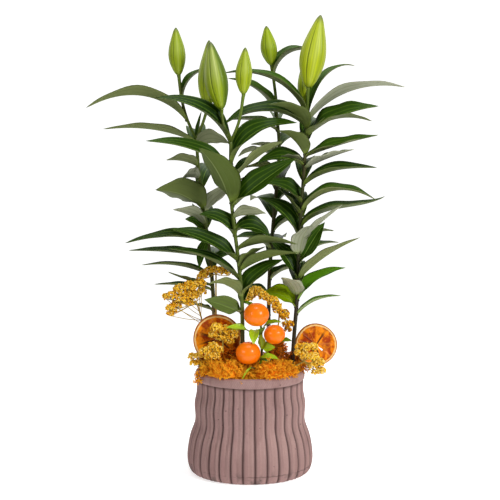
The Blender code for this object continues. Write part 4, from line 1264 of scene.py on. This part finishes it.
def peel_finish():
    """Glossy peel with pores."""
    f = Finish("calamondin_peel", 0.42, Specular_IOR_Level=0.15, Coat_Weight=0.35, Coat_Roughness=0.14)
    broad = f.noise(40.0, 3.0)
    f.body = f.mix(broad, chosen("peel_dark"), chosen("peel_light"))
    return f.done((f.span(f.cells(620.0), 0.0, 0.45), 0.35, 0.3), (broad, 0.2, 1.0))


def twig_finish():
    """Young green bark with streaks."""
    f = Finish("calamondin_twig", 0.6)
    streaks = f.streaks(200.0, 3.0, 0.15)
    f.body = f.mix(streaks, (84, 96, 32), (126, 132, 56))
    return f.done((streaks, 0.4, 0.4))


def sprig_finish():
    """Either face of a small calamondin leaf."""
    f = Finish("calamondin_leaf", 0.34, Specular_IOR_Level=0.35)
    cloud, rib = f.noise(60.0, 3.0), f.near(f.value("across"), 0.0, 0.0, 0.09)
    bright = f.mix(cloud, (148, 186, 2), (182, 212, 36))
    f.body = f.mix(f.value("tone"), f.mix(cloud, (48, 92, 4), (84, 130, 6)), bright)
    f.coat(rib, (186, 198, 104), 0.55)
    return f.done((cloud, 0.3, 0.8), (rib, 0.3, 0.3))


def dried_orange_finish():
    """Flesh, membranes and burnt streaks, a pale pith and a darker rind, by the reach from the core."""
    f = Finish("dried_orange", 0.4, Specular_IOR_Level=0.2)
    broad, fine = f.noise(130.0, 4.0), f.noise(420.0, 4.0)
    reach = f.value("reach")
    f.body = f.mix(f.span(broad, 0.38, 0.62), chosen("flesh_dark"), chosen("flesh_light"))
    f.coat(f.value("membrane"), (222, 130, 26), 0.6)
    f.coat(f.value("burnt"), (62, 20, 0))
    f.coat(f.span(reach, 0.06, 0.12, 1.0, 0.0), (150, 84, 24))
    f.coat(f.span(reach, 0.875, 0.905), f.mix(broad, (232, 180, 98), (250, 216, 146)))
    f.coat(f.span(reach, 0.945, 0.965), f.mix(broad, (150, 72, 10), (200, 110, 12)))
    return f.done((fine, 0.5, 0.5), (broad, 0.5, 1.4))


def yarrow_finish():
    """Gold florets, paler as their tone rises, and straw-coloured stalks below -0.2."""
    f = Finish("yarrow", 0.9, Specular_IOR_Level=0.15)
    tone, grain = f.value("tone"), f.noise(900.0, 3.0)
    f.body = f.mix(f.span(tone, -0.1, 0.15), (150, 86, 16), chosen("yarrow_gold"))
    f.coat(f.span(tone, 0.15, 0.55), chosen("yarrow_bright"))
    f.coat(f.span(tone, 0.55, 1.0), (255, 230, 132))
    f.coat(grain, (190, 122, 14), 0.3)
    f.coat(f.span(tone, -0.6, -0.2, 1.0, 0.0), (184, 156, 70))
    return f.done((grain, 0.6, 0.5))


def moss_finish():
    """Brown inside the clump, rust to gold towards the tips."""
    f = Finish("moss", 0.92, Specular_IOR_Level=0.15)
    tone = f.value("tone")
    broad, grain = f.noise(60.0, 3.0), f.noise(700.0, 3.0)
    rust = f.mix(f.span(tone, 0.0, 1.0), chosen("moss_rust"), chosen("moss_gold"))
    rust = f.mix(f.times(f.span(broad, 0.5, 0.75), 0.4), rust, (176, 88, 4))
    f.body = f.mix(grain, (110, 58, 10), (176, 104, 30))
    f.coat(f.span(tone, -0.3, 0.1), rust)
    return f.done((grain, 0.5, 0.4))


def stage_finish(name, glow):
    """Plain white that glows a little, so that it stays white in the light."""
    f = Finish(name, 0.9, Base_Color=(0.8, 0.8, 0.8, 1.0), Emission_Color=(1.0, 1.0, 1.0, 1.0),
               Emission_Strength=glow)
    return f.material


# Stage ------------

# low and high corners in millimetres, and how much each glows
STAGE_BOXES = {"floor": ((-1000, -500, -10), (1000, 1000, 0), 0.62),
               "backdrop": ((-5000, 4000, -1200), (5000, 4010, 5000), 1.0)}
LAMP_TARGET = Vector((0.0, 0.0, 0.22))
SENSOR_WIDTH = 36.0


def add_box(name, low, high, glow):
    """A plain white box that is no part of the object."""
    corners = [(x, y, z) for z in (low[2], high[2])
               for x, y in ((low[0], low[1]), (high[0], low[1]), (high[0], high[1]), (low[0], high[1]))]
    shape = Shape()
    shape.add(corners, closed_faces(4, 2))
    shape.object(name, stage_finish(name, glow))


def add_lamp(name, spot, power, size):
    """A square soft light aimed at the middle of the planting."""
    lamp = bpy.data.lights.new(name, "AREA")
    lamp.energy = power
    lamp.size = size
    holder = bpy.data.objects.new(name, lamp)
    holder.location = spot
    holder.rotation_euler = (LAMP_TARGET - Vector(spot)).to_track_quat("-Z", "Y").to_euler()
    bpy.context.scene.collection.objects.link(holder)


def build_stage(settings):
    """A white floor, a lit wall far behind it, soft lights and the camera."""
    scene = bpy.context.scene
    for name, box in STAGE_BOXES.items():
        add_box(name, *box)
    world = bpy.data.worlds.new("studio")
    world.use_nodes = True
    surround = world.node_tree.nodes["Background"].inputs
    surround["Color"].default_value = (1.0, 1.0, 1.0, 1.0)
    surround["Strength"].default_value = settings.surround
    scene.world = world
    add_lamp("key_light", (1.15, -1.25, 1.0), settings.key, 0.6)
    add_lamp("fill_light", (-1.15, -1.25, 0.8), settings.fill, 0.6)
    add_lamp("top_light", (0.0, 0.0, 1.9), settings.top, 1.0)
    lens = bpy.data.cameras.new("camera")
    lens.sensor_width = SENSOR_WIDTH
    lens.lens = settings.focal_length
    viewer = bpy.data.objects.new("camera", lens)
    viewer.location = (0.0, -settings.distance, settings.height)
    viewer.rotation_euler = (math.radians(90 - settings.tilt), 0.0, 0.0)
    scene.collection.objects.link(viewer)
    scene.camera = viewer
    scene.view_settings.view_transform = "Standard"


# Add-on ------------

def colour(name, description, *shade):
    """A colour that the user can change, given in screen values between 0 and 255."""
    return bpy.props.FloatVectorProperty(name=name, description=description, subtype="COLOR_GAMMA",
                                         size=3, min=0.0, max=1.0, default=screen(*shade))


class ColourSettings(bpy.types.PropertyGroup):
    clay_dark: colour("Dark Clay", "Darker shade of the pot", 152, 121, 117)
    clay_light: colour("Light Clay", "Lighter shade of the pot", 166, 134, 128)
    leaf_dark: colour("Dark Leaf", "Darker shade of the deep green leaves", 6, 32, 0)
    leaf_light: colour("Light Leaf", "Lighter shade of the deep green leaves", 26, 56, 0)
    underside_dark: colour("Dark Underside", "Darker shade of the same leaves from below", 64, 80, 20)
    underside_light: colour("Light Underside", "Lighter shade of the same leaves from below",
                            86, 102, 38)
    bud_green: colour("Bud Green", "Shade of the younger buds", 152, 176, 16)
    bud_bright: colour("Bud Bright", "Shade of the riper buds", 206, 216, 36)
    peel_dark: colour("Dark Peel", "Darker shade of the calamondins", 248, 108, 0)
    peel_light: colour("Light Peel", "Lighter shade of the calamondins", 255, 130, 0)
    flesh_dark: colour("Dark Flesh", "Darker shade of the dried orange", 170, 58, 0)
    flesh_light: colour("Light Flesh", "Lighter shade of the dried orange", 255, 150, 0)
    yarrow_gold: colour("Yarrow Gold", "Shade of the darker florets", 240, 170, 14)
    yarrow_bright: colour("Yarrow Bright", "Shade of most florets", 255, 212, 60)
    moss_rust: colour("Moss Rust", "Shade of the moss low down", 228, 116, 0)
    moss_gold: colour("Moss Gold", "Shade of the tips of the moss", 255, 184, 40)


class PotSettings(bpy.types.PropertyGroup):
    groove_depth: bpy.props.FloatProperty(
        name="Groove Depth", description="How deep the grooves between the ribs are",
        default=GROOVE_DEPTH * MM, min=0.0, max=5 * MM, unit="LENGTH")
    crumbs: bpy.props.IntProperty(
        name="Soil Crumbs", description="How many crumbs lie on the soil",
        default=500, min=0, max=2000)


class LeafSettings(bpy.types.PropertyGroup):
    waviness: bpy.props.FloatProperty(
        name="Waviness", description="How much the edges of the blades wave",
        default=1.0, min=0.0, max=3.0, subtype="FACTOR")


class DressingSettings(bpy.types.PropertyGroup):
    torn_segment: bpy.props.IntProperty(
        name="Torn Segment", description="Which segment of the right slice is torn open",
        default=1, min=0, max=SEGMENTS - 1)
    florets: bpy.props.IntProperty(
        name="Florets", description="Florets in each little cluster of yarrow",
        default=7, min=1, max=30)
    cluster_area: bpy.props.FloatProperty(
        name="Cluster Area", description="Square millimetres of a yarrow head for each cluster",
        default=16.0, min=4.0, max=100.0)
    sprout_area: bpy.props.FloatProperty(
        name="Sprout Area", description="Square millimetres of moss for each sprout",
        default=7.4, min=3.0, max=100.0)
    sprout_length: bpy.props.FloatProperty(
        name="Sprout Length", description="Length of a moss sprout's lowest branch",
        default=2.6 * MM, min=0.0, max=10 * MM, unit="LENGTH")


class StageSettings(bpy.types.PropertyGroup):
    surround: bpy.props.FloatProperty(
        name="Surround", description="Strength of the white surround",
        default=0.1, min=0.0, max=5.0)
    key: bpy.props.FloatProperty(
        name="Key Light", description="Power of the light at the front right",
        default=24.0, min=0.0, subtype="POWER")
    fill: bpy.props.FloatProperty(
        name="Fill Light", description="Power of the light at the front left",
        default=7.0, min=0.0, subtype="POWER")
    top: bpy.props.FloatProperty(
        name="Top Light", description="Power of the light overhead",
        default=20.0, min=0.0, subtype="POWER")
    distance: bpy.props.FloatProperty(
        name="Distance", description="How far in front of the pot the camera stands",
        default=1.75, min=0.5, unit="LENGTH")
    height: bpy.props.FloatProperty(
        name="Height", description="How high the camera stands", default=0.467, unit="LENGTH")
    tilt: bpy.props.FloatProperty(
        name="Tilt", description="How far the camera looks down, in degrees", default=7.0)
    focal_length: bpy.props.FloatProperty(
        name="Focal Length", description="The camera's focal length in millimetres",
        default=113.9, min=10.0)


class LILY_OT_pot(bpy.types.Operator):
    """Build the ribbed pot"""
    bl_idname = "lily.pot"
    bl_label = "Build Pot"

    def execute(self, context):
        build_pot(context.scene.lily_pot)
        return {"FINISHED"}


class LILY_OT_soil(bpy.types.Operator):
    """Build the potting soil"""
    bl_idname = "lily.soil"
    bl_label = "Build Soil"

    def execute(self, context):
        build_soil(context.scene.lily_pot)
        return {"FINISHED"}


class LILY_OT_stems(bpy.types.Operator):
    """Build the stems of the lilies with their bud stalks"""
    bl_idname = "lily.stems"
    bl_label = "Build Stems"

    def execute(self, context):
        for lily in STEMS:
            build_stem(lily)
        return {"FINISHED"}


class LILY_OT_leaves(bpy.types.Operator):
    """Build the leaves of the lilies"""
    bl_idname = "lily.leaves"
    bl_label = "Build Leaves"

    def execute(self, context):
        for lily in STEMS:
            build_leaves(lily, context.scene.lily_leaf)
        return {"FINISHED"}


class LILY_OT_buds(bpy.types.Operator):
    """Build the buds of the lilies"""
    bl_idname = "lily.buds"
    bl_label = "Build Buds"

    def execute(self, context):
        for lily in STEMS:
            for name, bud in BUDS[lily].items():
                build_bud(name, bud)
        return {"FINISHED"}


class LILY_OT_calamondins(bpy.types.Operator):
    """Build the calamondin sprig and its fruits"""
    bl_idname = "lily.calamondins"
    bl_label = "Build Calamondins"

    def execute(self, context):
        build_sprig(context.scene.lily_leaf)
        for name in ("calamondin_top", "calamondin_right", "calamondin_low"):
            build_fruit(name)
        return {"FINISHED"}


class LILY_OT_slices(bpy.types.Operator):
    """Build the dried orange slices"""
    bl_idname = "lily.slices"
    bl_label = "Build Orange Slices"

    def execute(self, context):
        for name in SLICES:
            build_slice(name, context.scene.lily_dressing)
        return {"FINISHED"}


class LILY_OT_yarrow(bpy.types.Operator):
    """Build the dried yarrow heads"""
    bl_idname = "lily.yarrow"
    bl_label = "Build Yarrow"

    def execute(self, context):
        for name in YARROW:
            build_yarrow(name, context.scene.lily_dressing)
        build_bowed_yarrow(context.scene.lily_dressing)
        return {"FINISHED"}


class LILY_OT_moss(bpy.types.Operator):
    """Build the clumps of reindeer moss"""
    bl_idname = "lily.moss"
    bl_label = "Build Moss"

    def execute(self, context):
        for name in MOSS:
            build_moss(name, context.scene.lily_dressing)
        return {"FINISHED"}


class LILY_OT_stage(bpy.types.Operator):
    """Set the white stage, its lights and the camera"""
    bl_idname = "lily.stage"
    bl_label = "Set Stage"

    def execute(self, context):
        build_stage(context.scene.lily_stage)
        return {"FINISHED"}


class LILY_PT_panel(bpy.types.Panel):
    """Sidebar panel of the potted lily"""
    bl_idname = "LILY_PT_panel"
    bl_label = "Potted Lily"
    bl_space_type = "VIEW_3D"
    bl_region_type = "UI"
    bl_category = "Potted Lily"

    def draw(self, context):
        for group in SETTINGS:
            settings = getattr(context.scene, group)
            box = self.layout.box()
            for name in settings.__annotations__:
                box.prop(settings, name)
        for operator in OPERATORS:
            self.layout.operator(operator.bl_idname)


SETTINGS = {"lily_colours": ColourSettings, "lily_pot": PotSettings, "lily_leaf": LeafSettings,
            "lily_dressing": DressingSettings, "lily_stage": StageSettings}
OPERATORS = (LILY_OT_pot, LILY_OT_soil, LILY_OT_stems, LILY_OT_leaves, LILY_OT_buds,
             LILY_OT_calamondins, LILY_OT_slices, LILY_OT_yarrow, LILY_OT_moss, LILY_OT_stage)


def register():
    for name, group in SETTINGS.items():
        bpy.utils.register_class(group)
        setattr(bpy.types.Scene, name, bpy.props.PointerProperty(type=group))
    for operator in OPERATORS:
        bpy.utils.register_class(operator)
    bpy.utils.register_class(LILY_PT_panel)


def unregister():
    bpy.utils.unregister_class(LILY_PT_panel)
    for operator in reversed(OPERATORS):
        bpy.utils.unregister_class(operator)
    for name, group in reversed(SETTINGS.items()):
        delattr(bpy.types.Scene, name)
        bpy.utils.unregister_class(group)


def main():
    register()
    bpy.ops.lily.pot()
    bpy.ops.lily.soil()
    bpy.ops.lily.stems()
    bpy.ops.lily.leaves()
    bpy.ops.lily.buds()
    bpy.ops.lily.calamondins()
    bpy.ops.lily.slices()
    bpy.ops.lily.yarrow()
    bpy.ops.lily.moss()
    bpy.ops.lily.stage()


if __name__ == "__main__":
    main()
